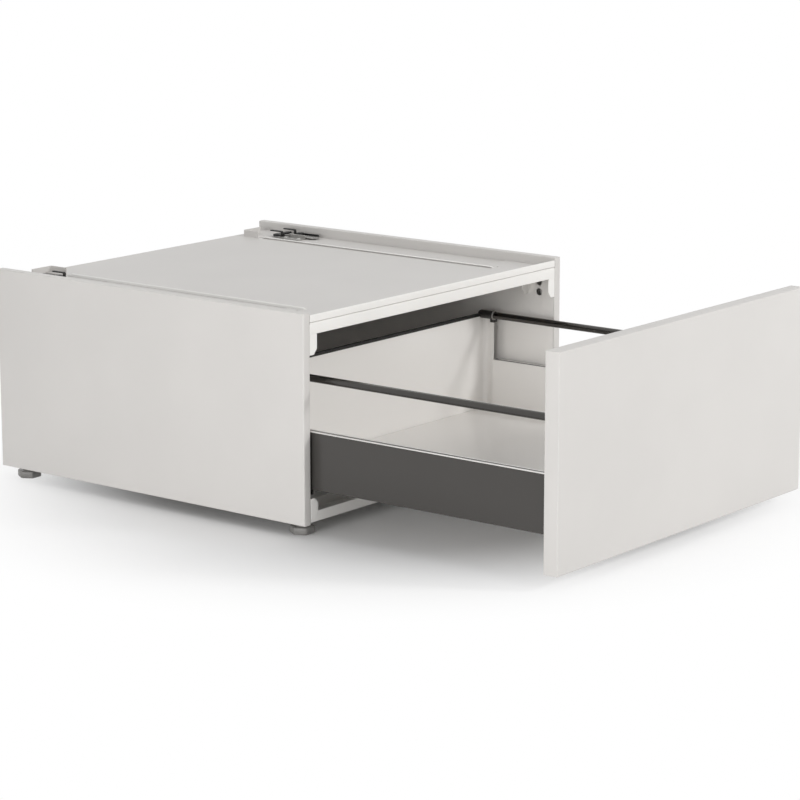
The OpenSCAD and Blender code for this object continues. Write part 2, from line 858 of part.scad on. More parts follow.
// Screws that hold the drawer front to the brackets
module front_screws() {
    color(zinc) in_drawer() on_both_sides()
        for (z = front_screw_z)
            translate([front_screw_x, bracket_t, z]) rotate([90, 0, 0]) {
                translate([0, 0, -front_screw_head[1]])
                    cylinder(h = front_screw_head[1], d = front_screw_head[0]);
                cylinder(h = front_screw_l, d = front_screw_d);
            }
}

// Outer skin of a drawer side: upright wall with a top cap and a hem along its lower edge
module drawer_side() {
    t = drawer_sheet;
    along_y([0, side_l]) {
        difference() {
            translate([drawer_inset, drawer_z])
                rounded_rect(2 * drawer_side_t, drawer_side_h, fold_r);
            translate([drawer_inset + t, drawer_z + t])
                square([2 * drawer_side_t, drawer_side_h - 2 * t]);
            translate([drawer_inset + hem_w, drawer_z - t])
                square([2 * drawer_side_t, drawer_side_h - t]);
            translate([side_gap_x, drawer_z])
                square([2 * drawer_side_t, drawer_side_h + t]);
        }
        translate([side_gap_x - t, drawer_z + drawer_side_h - t / 2 - cap_lip])
            square([t, cap_lip]);
    }
}
module drawer_side_left() {
    color(dark_steel) in_drawer() from_left() drawer_side();
}
module drawer_side_right() {
    color(dark_steel) in_drawer() from_right() drawer_side();
}

// Inner skin of a drawer side, with the flange that carries the drawer floor
module drawer_side_lining() {
    t = drawer_sheet;
    top = drawer_z + drawer_side_h - lining_sink;
    along_y([0, side_l]) {
        translate([side_in - t, drawer_z]) square([t, top - drawer_z]);
        translate([side_gap_x + groove, top - t]) square([side_in - side_gap_x - groove, t]);
        translate([side_in - t, flange_z - t]) square([flange_w + t, t]);
    }
}
module drawer_side_lining_left() {
    color(lining_white) in_drawer() from_left() drawer_side_lining();
}
module drawer_side_lining_right() {
    color(lining_white) in_drawer() from_right() drawer_side_lining();
}

// Floor sheet between the drawer sides, wider and with rounded corners behind them
module drawer_floor() {
    w = casing_w - 2 * back_x - 2 * floor_seam;
    color(lining_white) in_drawer() translate([0, 0, flange_z])
        linear_extrude(drawer_sheet) intersection() {
            translate([-w / 2, -drawer_l])
                rounded_rect(w, 2 * drawer_l - floor_seam, back_bend_r - floor_seam);
            union() {
                translate([side_in - casing_w / 2, 0])
                    square([casing_w - 2 * side_in, drawer_l]);
                translate([-w / 2, side_l]) square([w, back_return]);
            }
        }
}

// Plan of the rear wall, folded forwards at both ends
module back_outline() {
    t = drawer_sheet;
    w = casing_w - 2 * back_x;
    intersection() {
        translate([-w / 2 - t, drawer_l - 3 * back_return]) difference() {
            rounded_rect(w + 2 * t, 3 * back_return + t, back_bend_r + t);
            translate([t, t]) rounded_rect(w, 3 * back_return - t, back_bend_r);
        }
        translate([-w / 2 - t, drawer_l - back_return])
            square([w + 2 * t, back_return + t]);
    }
}

// Rear wall with a flange under the floor
module drawer_back() {
    low = flange_z - drawer_sheet;
    color(lining_white) in_drawer() {
        translate([0, 0, low]) linear_extrude(back_top - low) back_outline();
        block([side_in - casing_w / 2 + flange_w, casing_w / 2 - side_in - flange_w],
            [drawer_l - back_return + floor_lap, drawer_l + drawer_sheet / 2],
            [low, flange_z]);
    }
}

// Blocks that join the drawer sides to the returns of the rear wall
module back_clips() {
    x0 = drawer_inset + drawer_sheet;
    color(black) in_drawer() on_both_sides()
        block([x0, back_x - drawer_sheet], [side_l - clip_l, drawer_l - back_bend_r - over],
            [drawer_z + member_clear, clip_top]);
}

// ---- Gallery ----

// Round tube beside the drawer opening
module gallery_tube() {
    translate([tube_inset, tube_ends[0], tube_z]) rotate([-90, 0, 0]) difference() {
        cylinder(h = tube_ends[1] - tube_ends[0], d = tube_d);
        translate([0, 0, -over]) cylinder(h = drawer_l, d = tube_d - 2 * tube_wall);
    }
}
module gallery_tube_left() {
    color(chrome) in_drawer() from_left() gallery_tube();
}
module gallery_tube_right() {
    color(chrome) in_drawer() from_right() gallery_tube();
}

// Cup on the drawer front that takes the tube's front end
module tube_socket() {
    translate([tube_inset, 0, tube_z]) rotate([-90, 0, 0]) difference() {
        union() {
            cylinder(h = socket_flange_t, r = collar_r + 1);
            cylinder(h = socket_l, r = connector_r);
        }
        translate([0, 0, socket_flange_t]) cylinder(h = socket_l, d = tube_d + 2 * running);
    }
}
module tube_socket_left() {
    color(black) in_drawer() from_left() tube_socket();
}
module tube_socket_right() {
    color(black) in_drawer() from_right() tube_socket();
}

// Rear connector: sleeve with a collar round the tube and a saddle on the rear wall
module tube_connector() {
    saddle_x = [tube_inset - saddle_w / 2, tube_inset + saddle_w / 2];
    saddle_y = [drawer_l - saddle_t, drawer_l + drawer_sheet + saddle_t];
    difference() {
        union() {
            translate([tube_inset, connector_front, tube_z]) rotate([-90, 0, 0]) {
                cylinder(h = drawer_l - connector_front, r = connector_r);
                cylinder(h = collar_l, r = collar_r);
            }
            translate([tube_inset, drawer_l, tube_z]) sphere(connector_r);
            block(saddle_x, saddle_y, [back_top, tube_z]);
            block([back_x + back_bend_r, saddle_x[1]], saddle_y,
                [back_top - saddle_h, back_top + over]);
        }
        translate([tube_inset, connector_front - over, tube_z]) rotate([-90, 0, 0])
            cylinder(h = tube_ends[1] - connector_front + over, d = tube_d + 2 * running);
        translate([casing_w / 2, 0, 0]) linear_extrude(back_top) back_outline();
    }
}
module tube_connector_left() {
    color(black) in_drawer() from_left() tube_connector();
}
module tube_connector_right() {
    color(black) in_drawer() from_right() tube_connector();
}

// Bar along the top of the rear wall, between the connectors
module rear_bar() {
    end_x = casing_w / 2 - tube_inset - saddle_w / 2;
    middle = drawer_l + drawer_sheet / 2;
    color(black) in_drawer() along_x([-end_x, end_x])
        translate([middle - bar_t / 2, back_top]) rounded_rect(bar_t, bar_h, bar_r);
}

side_panel_left();
side_panel_right();
side_lining_left();
side_lining_right();
side_braces();
deck_panel();
rear_stops();
front_rail();
rear_rail();
base_front_rail();
base_rear_rail();
corner_brackets();
back_panel();
foot_nuts();
foot_front_left();
foot_front_right();
foot_rear_left();
foot_rear_right();
clamp_plate_left();
clamp_plate_right();
clamp_jaw_left();
clamp_jaw_right();
clamp_screw_left();
clamp_screw_right();
clamp_rivets();
runner_cabinet_left();
runner_cabinet_right();
runner_screws();
runner_carriage_left();
runner_carriage_right();
runner_rollers_left();
runner_rollers_right();
runner_drawer_left();
runner_drawer_right();
drawer_front_shell();
drawer_front_lining();
drawer_front_stiffeners();
front_buffers();
front_bracket_left();
front_bracket_right();
front_screws();
drawer_side_left();
drawer_side_right();
drawer_side_lining_left();
drawer_side_lining_right();
drawer_floor();
drawer_back();
back_clips();
gallery_tube_left();
gallery_tube_right();
tube_socket_left();
tube_socket_right();
tube_connector_left();
tube_connector_right();
rear_bar();
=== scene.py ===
"""Looks of a washer pedestal with its wide drawer pulled out.

Lengths in the shape classes are millimetres, measured from the lower front left corner of the
casing (X to the right, Y to the back, Z up). On the drawer, Y starts at the back face of the
drawer front. Form.mesh turns them into the shared frame's metres.
"""

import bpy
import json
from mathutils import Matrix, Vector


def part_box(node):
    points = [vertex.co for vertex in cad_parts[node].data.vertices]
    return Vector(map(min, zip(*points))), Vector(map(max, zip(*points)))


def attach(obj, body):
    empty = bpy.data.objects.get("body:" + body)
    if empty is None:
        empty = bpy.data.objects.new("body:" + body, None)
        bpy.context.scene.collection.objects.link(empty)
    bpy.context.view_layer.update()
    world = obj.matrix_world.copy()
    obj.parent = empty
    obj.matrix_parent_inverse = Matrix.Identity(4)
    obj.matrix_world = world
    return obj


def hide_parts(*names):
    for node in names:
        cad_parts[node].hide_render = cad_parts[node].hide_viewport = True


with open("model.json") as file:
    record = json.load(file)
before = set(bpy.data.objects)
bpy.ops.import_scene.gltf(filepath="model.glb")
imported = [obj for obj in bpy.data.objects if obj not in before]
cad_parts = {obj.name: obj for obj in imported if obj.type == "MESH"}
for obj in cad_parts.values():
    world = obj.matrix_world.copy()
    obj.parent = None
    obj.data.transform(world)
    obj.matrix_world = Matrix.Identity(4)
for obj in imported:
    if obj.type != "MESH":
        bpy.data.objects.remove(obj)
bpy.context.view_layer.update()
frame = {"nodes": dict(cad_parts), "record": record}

import json
import logging
import math
from dataclasses import dataclass, field
from enum import Enum
from typing import Callable, Sequence

import bmesh
import bpy
import numpy as np
from mathutils import Vector
from mathutils.geometry import tessellate_polygon

LOG = logging.getLogger("pedestal")
MM = 0.001
# Metres: points closer than MERGE become one, edges shorter than SLIVER go.
MERGE = 2e-6
SLIVER = 1e-7
Pair = tuple[float, float]
Point = tuple[float, float, float]
Colour = tuple[float, float, float]
WHITE: Colour = (1.0, 1.0, 1.0)
PAPER: Colour = (0.92, 0.92, 0.92)


# ---- Shader graphs ----


class Wire:
    """A value in a shader graph; Python's operators add its Math nodes."""

    def __init__(self, graph: "Graph", socket: bpy.types.NodeSocket | None) -> None:
        """Keeps the graph and the output socket that carries the value."""
        self.graph = graph
        self.socket = socket

    def _math(self, operation: str, left: object, right: object) -> "Wire":
        """Adds a Math node between two values."""
        return self.graph.add("Math", {0: left, 1: right}, operation=operation)

    def __add__(self, other: object) -> "Wire":
        """self + other."""
        return self._math("ADD", self, other)

    def __radd__(self, other: object) -> "Wire":
        """other + self."""
        return self._math("ADD", other, self)

    def __sub__(self, other: object) -> "Wire":
        """self - other."""
        return self._math("SUBTRACT", self, other)

    def __mul__(self, other: object) -> "Wire":
        """self * other."""
        return self._math("MULTIPLY", self, other)


class Graph:
    """The node tree of one material or of the world."""

    def __init__(self, owner: bpy.types.ID) -> None:
        """Empties the owner's node tree."""
        owner.use_nodes = True
        self.tree = owner.node_tree
        self.tree.nodes.clear()

    def add(
        self,
        kind: str,
        inputs: dict[str | int, object] | None = None,
        output: str | int = 0,
        **settings: object,
    ) -> Wire:
        """Adds one node.

        Args:
            kind: Name of the node's type, without ShaderNode.
            inputs: Values or wires of its input sockets, by name or number.
            output: The output socket to return.
            settings: Its properties, set before its sockets.

        Returns:
            The wire that leaves the node.
        """
        node = self.tree.nodes.new("ShaderNode" + kind)
        for name, value in settings.items():
            setattr(node, name, value)
        for key, value in (inputs or {}).items():
            socket = node.inputs[key]
            if isinstance(value, Wire):
                self.tree.links.new(value.socket, socket)
            elif isinstance(value, tuple) and len(value) == 3 and socket.type == "RGBA":
                socket.default_value = (*value, 1.0)
            else:
                socket.default_value = value
        return Wire(self, node.outputs[output]) if node.outputs else Wire(self, None)

    def position(self) -> Wire:
        """The place on the piece, in metres of the shared frame."""
        return self.add("TexCoord", output="Object")

    def noise(self, scale: float, detail: float = 2.0, stretch: Point | None = None) -> Wire:
        """Soft noise from 0 to 1, with its scale in features per metre."""
        place = self.position()
        if stretch:
            place = self.add("Mapping", {"Vector": place, "Scale": stretch})
        return self.add("TexNoise", {"Vector": place, "Scale": scale, "Detail": detail})

    def band(self, value: Wire, low: float, high: float) -> Wire:
        """0 below low and 1 above high, smooth between them."""
        span = {"Value": value, "From Min": low, "From Max": high, "To Min": 0.0, "To Max": 1.0}
        return self.add("MapRange", span, interpolation_type="SMOOTHSTEP")

    def blend(self, factor: Wire, first: object, second: object) -> Wire:
        """Mixes two colours."""
        parts = {"Factor": factor, "A": first, "B": second}
        return self.add("Mix", parts, "Result", data_type="RGBA")

    def bump(self, height: Wire, strength: float, distance: float) -> Wire:
        """A normal from a height, with the distance in metres."""
        return self.add("Bump", {"Height": height, "Strength": strength, "Distance": distance})

    def surface(self, shader: Wire) -> None:
        """Leads a shader to the material's output."""
        self.add("OutputMaterial", {"Surface": shader})


def shade(colour: Colour, factor: float) -> Colour:
    """The colour made lighter or darker by a factor."""
    return tuple(min(1.0, part * factor) for part in colour)


@dataclass(frozen=True)
class Finish:
    """The look of one material slot."""

    slot: str
    colour: Colour

    def inputs(self, graph: Graph) -> dict[str, object]:
        """Works out the shader's inputs in the material's graph."""
        raise NotImplementedError

    def tones(self, cloud: Wire, spread: float) -> Wire:
        """The colour, from darker to lighter by the spread as the cloud goes from 0 to 1."""
        dark, light = shade(self.colour, 1 - spread), shade(self.colour, 1 + spread)
        return cloud.graph.blend(cloud, dark, light)

    def material(self) -> bpy.types.Material:
        """Builds the material.

        Returns:
            The material.
        """
        made = bpy.data.materials.new(f"{self.slot}_finish")
        graph = Graph(made)
        graph.surface(graph.add("BsdfPrincipled", self.inputs(graph)))
        return made


@dataclass(frozen=True)
class Paint(Finish):
    """Powder coat on sheet metal: a faint orange peel, soft mottling and a satin sheen."""

    roughness: float = 0.42
    mottle: float = 0.015
    peel: float = 0.12
    metallic: float = 0.0
    specular: float = 0.25
    relief: float = 0.00006

    def inputs(self, graph: Graph) -> dict[str, object]:
        """Broad clouds and fine flecks tint the coat; its peel roughens and dents it."""
        cloud = graph.noise(7.0, 3.0)
        fleck = graph.noise(2600.0, 1.0)
        peel = graph.noise(900.0, 2.0)
        tone = graph.band(cloud * 0.8 + fleck * 0.2, 0.3, 0.7)
        return {
            "Base Color": self.tones(tone, self.mottle),
            "Roughness": self.roughness + (peel - 0.5) * self.peel,
            "Metallic": self.metallic,
            "Specular IOR Level": self.specular,
            "Normal": graph.bump(peel, self.peel, self.relief),
        }


@dataclass(frozen=True)
class Plated(Finish):
    """Plated steel: drawn lines along Y, with a spangled tone."""

    roughness: float = 0.32
    lines: float = 0.1
    spangle: float = 0.12
    relief: float = 0.00005

    def inputs(self, graph: Graph) -> dict[str, object]:
        """Spangles tint the plating; noise stretched along Y draws its lines."""
        drawn = graph.noise(1400.0, 2.0, (1.0, 0.03, 1.0))
        cloud = graph.band(graph.noise(120.0, 3.0), 0.35, 0.65)
        return {
            "Base Color": self.tones(cloud, self.spangle),
            "Metallic": 1.0,
            "Roughness": self.roughness + (drawn - 0.5) * self.lines * 2.0,
            "Normal": graph.bump(drawn, self.lines, self.relief),
        }


@dataclass(frozen=True)
class Moulded(Finish):
    """Moulded plastic or rubber: a fine grained skin."""

    roughness: float = 0.5
    grain: float = 1500.0
    depth: float = 0.2
    spread: float = 0.1
    relief: float = 0.00005

    def inputs(self, graph: Graph) -> dict[str, object]:
        """Clouds tint the skin; the grain roughens and dents it."""
        grain = graph.noise(self.grain, 3.0)
        cloud = graph.band(graph.noise(60.0, 2.0), 0.3, 0.7)
        return {
            "Base Color": self.tones(cloud, self.spread),
            "Roughness": self.roughness + (grain - 0.5) * 0.2,
            "Normal": graph.bump(grain, self.depth, self.relief),
        }


FINISHES = (
    Paint("white_paint", (0.642, 0.624, 0.603)),
    Paint("rail_paint", (0.850, 0.836, 0.810)),
    Paint("lining_paint", (0.850, 0.832, 0.808), 0.28, mottle=0.006, peel=0.02, metallic=0.2),
    Paint("dark_paint", (0.062, 0.058, 0.054), 0.24, metallic=0.2, specular=0.4),
    Paint("black_steel", (0.014, 0.0135, 0.013)),
    Plated("zinc_steel", (0.36, 0.353, 0.34)),
    Plated("tube_chrome", (0.080, 0.077, 0.073), 0.14, lines=0.04, spangle=0.03),
    Moulded("black_plastic", (0.022, 0.021, 0.020), 0.42),
    Moulded("roller_plastic", (0.72, 0.71, 0.68), 0.35),
    Moulded("foot_plastic", (0.21, 0.204, 0.195), 0.45),
    Moulded("buffer_rubber", (0.02, 0.02, 0.02), 0.75),
)
MIXED: dict[str, bpy.types.Material] = {}


def mix_finishes() -> None:
    """Builds the material of every finish, kept by the name of its slot."""
    for finish in FINISHES:
        MIXED[finish.slot] = finish.material()


# ---- Shapes ----


def fillet(corners: Sequence[Pair], radii: object, steps: int = 5) -> np.ndarray:
    """Closed outline with an arc in each corner.

    The arc's centre lies on the corner's bisector, at its radius over the sine of half the
    corner's angle. Its points turn evenly from one side's tangent point to the other's.

    Args:
        corners: The outline's corners, in order.
        radii: One radius, or one for each corner.
        steps: Points on each arc.

    Returns:
        Points of shape (corners * steps, 2).
    """
    at = np.asarray(corners, float)
    radius = np.broadcast_to(np.asarray(radii, float), len(at))[:, None]
    back = np.roll(at, 1, 0) - at
    ahead = np.roll(at, -1, 0) - at
    back /= np.linalg.norm(back, axis=1, keepdims=True)
    ahead /= np.linalg.norm(ahead, axis=1, keepdims=True)
    half = np.arccos(np.clip((back * ahead).sum(1, keepdims=True), -1, 1)) / 2
    middle = back + ahead
    middle /= np.maximum(np.linalg.norm(middle, axis=1, keepdims=True), 1e-9)
    centre = at + middle * radius / np.sin(half)
    run = radius / np.tan(half)
    first, last = at + back * run - centre, at + ahead * run - centre
    turn = np.maximum(np.pi - 2 * half, 1e-6)[:, None]
    share = np.linspace(0, 1, steps)[None, :, None]
    arc = (np.sin((1 - share) * turn) * first[:, None] + np.sin(share * turn) * last[:, None])
    return (centre[:, None] + arc / np.sin(turn)).reshape(-1, 2)


def inset(outline: np.ndarray, distance: float) -> np.ndarray:
    """Moves each point of a closed outline inwards, along the mean of its sides' normals."""
    after = np.roll(outline, -1, 0)
    ahead = after - outline
    ahead /= np.maximum(np.linalg.norm(ahead, axis=1, keepdims=True), 1e-9)
    area = np.sum(outline[:, 0] * after[:, 1] - after[:, 0] * outline[:, 1])
    normal = np.stack([-ahead[:, 1], ahead[:, 0]], 1) * np.sign(area)
    mean = normal + np.roll(normal, 1, 0)
    mean /= np.maximum((mean * mean).sum(1, keepdims=True) / 2, 0.3)
    return outline + mean * distance


class Along(Enum):
    """The axis that an outline is carried along; the other two axes hold the outline."""

    X = (1, 2, 0)
    Y = (0, 2, 1)
    Z = (0, 1, 2)


def stack(outlines: Sequence[np.ndarray], places: Sequence[float], along: Along) -> np.ndarray:
    """Puts outlines of equal length at their places along an axis: shape (rows, around, 3)."""
    rows = np.stack(outlines)
    grid = np.empty((*rows.shape[:2], 3))
    grid[..., along.value[0]] = rows[..., 0]
    grid[..., along.value[1]] = rows[..., 1]
    grid[..., along.value[2]] = np.asarray(places, float)[:, None]
    return grid


def bar(outline: np.ndarray, span: Pair, along: Along, ease: float = 0.3) -> np.ndarray:
    """An outline carried straight along an axis, its two ends eased by a small chamfer."""
    low, high = span
    small = inset(outline, ease)
    places = [low, low + ease, high - ease, high]
    return stack([small, outline, outline, small], places, along)


def box_outline(low: Pair, high: Pair, radius: object, steps: int = 5) -> np.ndarray:
    """Rectangle between two corners, with one radius or one for each corner."""
    return fillet([low, (high[0], low[1]), high, (low[0], high[1])], radius, steps)


def turned(
    profile: Sequence[Pair], centre: Point, along: Along, count: int = 48, corners: float = 0.0
) -> np.ndarray:
    """A profile of (radius, height) turned about an axis: rows of circles at their heights.

    Args:
        profile: Radius and height of each row.
        centre: A point on the axis, where the height is 0.
        along: The axis.
        count: Points round the axis.
        corners: Radius of the corners of a hexagon that takes the circle's place, or 0.

    Returns:
        Points of shape (rows, count, 3).
    """
    rows = np.asarray(profile, float)
    angle = np.linspace(0, 2 * np.pi, count, endpoint=False)
    circle = np.stack([np.cos(angle), np.sin(angle)], 1)
    if corners:
        sixth = np.arange(6) * np.pi / 3
        circle = fillet(np.stack([np.cos(sixth), np.sin(sixth)], 1), corners, 6)
    grid = stack(rows[:, :1, None] * circle[None], rows[:, 1], along)
    return grid + np.asarray(centre, float)


def quads(index: np.ndarray) -> list[tuple[int, ...]]:
    """The faces between the neighbours in a grid of point numbers."""
    faces = np.stack([index[:-1, :-1], index[:-1, 1:], index[1:, 1:], index[1:, :-1]], -1)
    return [tuple(face) for face in faces.reshape(-1, 4).tolist()]


class Form:
    """Surfaces gathered into one mesh."""

    def __init__(self) -> None:
        """Starts with no surface."""
        self.points: list[np.ndarray] = []
        self.faces: list[tuple[int, ...]] = []
        self.count = 0

    def patch(self, grid: np.ndarray, loop: bool = False) -> "Form":
        """Adds a grid of points, whose last column joins the first, as a closed surface.

        Args:
            grid: Points of shape (rows, around, 3).
            loop: The last row joins the first; triangles close the two end rows otherwise.

        Returns:
            The form itself.
        """
        rows, cols = grid.shape[:2]
        index = np.arange(rows * cols).reshape(rows, cols) + self.count
        if not loop:
            for row in (0, -1):
                ends = tessellate_polygon([[Vector(point) for point in grid[row].tolist()]])
                self.faces += [tuple(int(index[row, i]) for i in face) for face in ends]
        index = np.concatenate([index, index[:, :1]], 1)
        if loop:
            index = np.concatenate([index, index[:1]], 0)
        self.faces += quads(index)
        self.points.append(grid.reshape(-1, 3))
        self.count += rows * cols
        return self

    def sheet(self, top: np.ndarray, bottom: np.ndarray) -> "Form":
        """Adds a sheet between two grids of the same shape, closed along its four edges."""
        rows, cols = top.shape[:2]
        upper = np.arange(rows * cols).reshape(rows, cols) + self.count
        lower = upper + rows * cols
        rim = np.concatenate([upper[0], upper[1:, -1], upper[-1, -2::-1], upper[-2::-1, 0]])
        self.faces += quads(upper) + quads(lower[:, ::-1])
        self.faces += quads(np.stack([rim, rim + rows * cols]))
        self.points += [top.reshape(-1, 3), bottom.reshape(-1, 3)]
        self.count += 2 * rows * cols
        return self

    def moved(self, shift: Point) -> "Form":
        """The form moved as a whole."""
        self.points = [part + np.asarray(shift, float) for part in self.points]
        return self

    def mirrored(self, width: float) -> "Form":
        """A copy of the form on the other side of a casing of that width."""
        other = Form()
        other.points = [part * (-1, 1, 1) + (width, 0, 0) for part in self.points]
        other.faces, other.count = list(self.faces), self.count
        return other

    def pair(self, width: float) -> tuple[tuple[str, "Form"], ...]:
        """The form for the left side and its mirror image for the right."""
        return ("left", self), ("right", self.mirrored(width))

    def join(self, other: "Form") -> "Form":
        """Adds another form's surfaces."""
        self.faces += [tuple(i + self.count for i in face) for face in other.faces]
        self.points += other.points
        self.count += other.count
        return self

    def mesh(self, name: str, origin: Vector) -> bpy.types.Mesh:
        """Makes the form's mesh, with doubled points merged and normals outwards.

        Args:
            name: Name of the mesh.
            origin: Where the form's zero lies, in metres.

        Returns:
            The mesh.
        """
        mesh = bpy.data.meshes.new(name)
        points = np.concatenate(self.points) * MM + np.array(origin)
        mesh.from_pydata(points.tolist(), [], self.faces)
        work = bmesh.new()
        work.from_mesh(mesh)
        bmesh.ops.remove_doubles(work, verts=work.verts, dist=MERGE)
        bmesh.ops.dissolve_degenerate(work, edges=work.edges, dist=SLIVER)
        bmesh.ops.recalc_face_normals(work, faces=work.faces)
        work.to_mesh(mesh)
        work.free()
        return mesh


def folded_pan(
    size: Pair, depth: float, window: tuple[Pair, Pair], sheet: float, fold: float, corner: float,
    along: Along,
) -> np.ndarray:
    """Sheet folded into a flat box, open in a window of its back.

    Each row is a rectangle. Its inset runs as fold * (1 - sin t) and its depth as
    fold * (1 - cos t) round the front edge and back the other way round the rear edge, then
    along the flange to the window and inside again, one sheet thickness further in.

    Args:
        size: Width and height of the box.
        depth: Its thickness.
        window: The window's low and high corner.
        sheet: Thickness of the sheet.
        fold: Outer radius of the folds.
        corner: Radius of the box's corners, seen from the front.
        along: The axis that the depth is measured on.

    Returns:
        Points of shape (rows, around, 3), front face first.
    """
    turn = np.linspace(0, np.pi / 2, 5)
    insets = [*(fold * (1 - np.sin(turn))), *(fold * (1 - np.cos(turn)))]
    depths = [*(fold * (1 - np.cos(turn))), *(depth - fold * (1 - np.sin(turn)))]
    wide, high = size
    rows = [
        box_outline((edge, edge), (wide - edge, high - edge), max(corner - edge, 0.02), 6)
        for edge in insets
    ]
    rows += [box_outline(*window, 0.4, 6)] * 2
    depths += [depth, depth - sheet]
    inner = [box_outline((sheet, sheet), (wide - sheet, high - sheet), 0.4, 6)] * 2
    return stack(rows + inner, depths + [depth - sheet, sheet], along)


def smoothstep(value: np.ndarray, low: float, high: float) -> np.ndarray:
    """0 below low and 1 above high, with the cubic 3 t^2 - 2 t^3 between them."""
    share = np.clip((value - low) / (high - low), 0, 1)
    return share * share * (3 - 2 * share)


def samples(marks: Sequence[float], spread: float, low: float, high: float) -> np.ndarray:
    """Places along an edge: evenly coarse, and nine close together round each mark."""
    near = np.asarray(marks, float)[:, None] + np.linspace(-spread, spread, 9)[None]
    every = np.concatenate([np.linspace(low, high, 24), near.ravel()])
    return np.unique(np.round(np.clip(every, low, high), 3))


def drill(piece: bpy.types.Object, pins: Form, origin: Vector) -> None:
    """Cuts holes through a piece.

    Args:
        piece: The piece to cut.
        pins: A closed surface for each hole.
        origin: Where the pins' zero lies, in metres.
    """
    cutter = bpy.data.objects.new("cutter", pins.mesh("cutter", origin))
    bpy.context.collection.objects.link(cutter)
    modifier = piece.modifiers.new("holes", "BOOLEAN")
    modifier.operation = "DIFFERENCE"
    modifier.solver = "EXACT"
    modifier.object = cutter
    graph = bpy.context.evaluated_depsgraph_get()
    cut = bpy.data.meshes.new_from_object(piece.evaluated_get(graph), depsgraph=graph)
    piece.modifiers.clear()
    piece.data = cut
    bpy.data.objects.remove(cutter)


# ---- Sub-assemblies ----


@dataclass
class Assembly:
    """Pieces measured from one zero, the casing's lower front left corner if not set."""

    origin: Vector = field(default_factory=lambda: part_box("side_panel_left")[0])
    width: float = 597.0
    body: str = "casing"

    def piece(
        self, form: Form, name: str, slot: str, node: str, body: str = "", smooth: float = 28.0
    ) -> bpy.types.Object:
        """Makes a form into a piece and ties it to the frame.

        Args:
            form: The piece's shape.
            name: Name of the piece.
            slot: Its material slot.
            node: The CAD node that it replaces.
            body: The body it moves with, the assembly's own if empty.
            smooth: Edges sharper than this many degrees stay sharp.

        Returns:
            The finished object.
        """
        mesh = form.mesh(name, self.origin)
        mesh.shade_smooth()
        mesh.set_sharp_from_angle(angle=math.radians(smooth))
        piece = bpy.data.objects.new(name, mesh)
        bpy.context.collection.objects.link(piece)
        mesh.materials.append(MIXED[slot])
        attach(piece, body or self.body)
        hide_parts(node)
        LOG.info("%s: %d faces, for %s", name, len(mesh.polygons), node)
        return piece


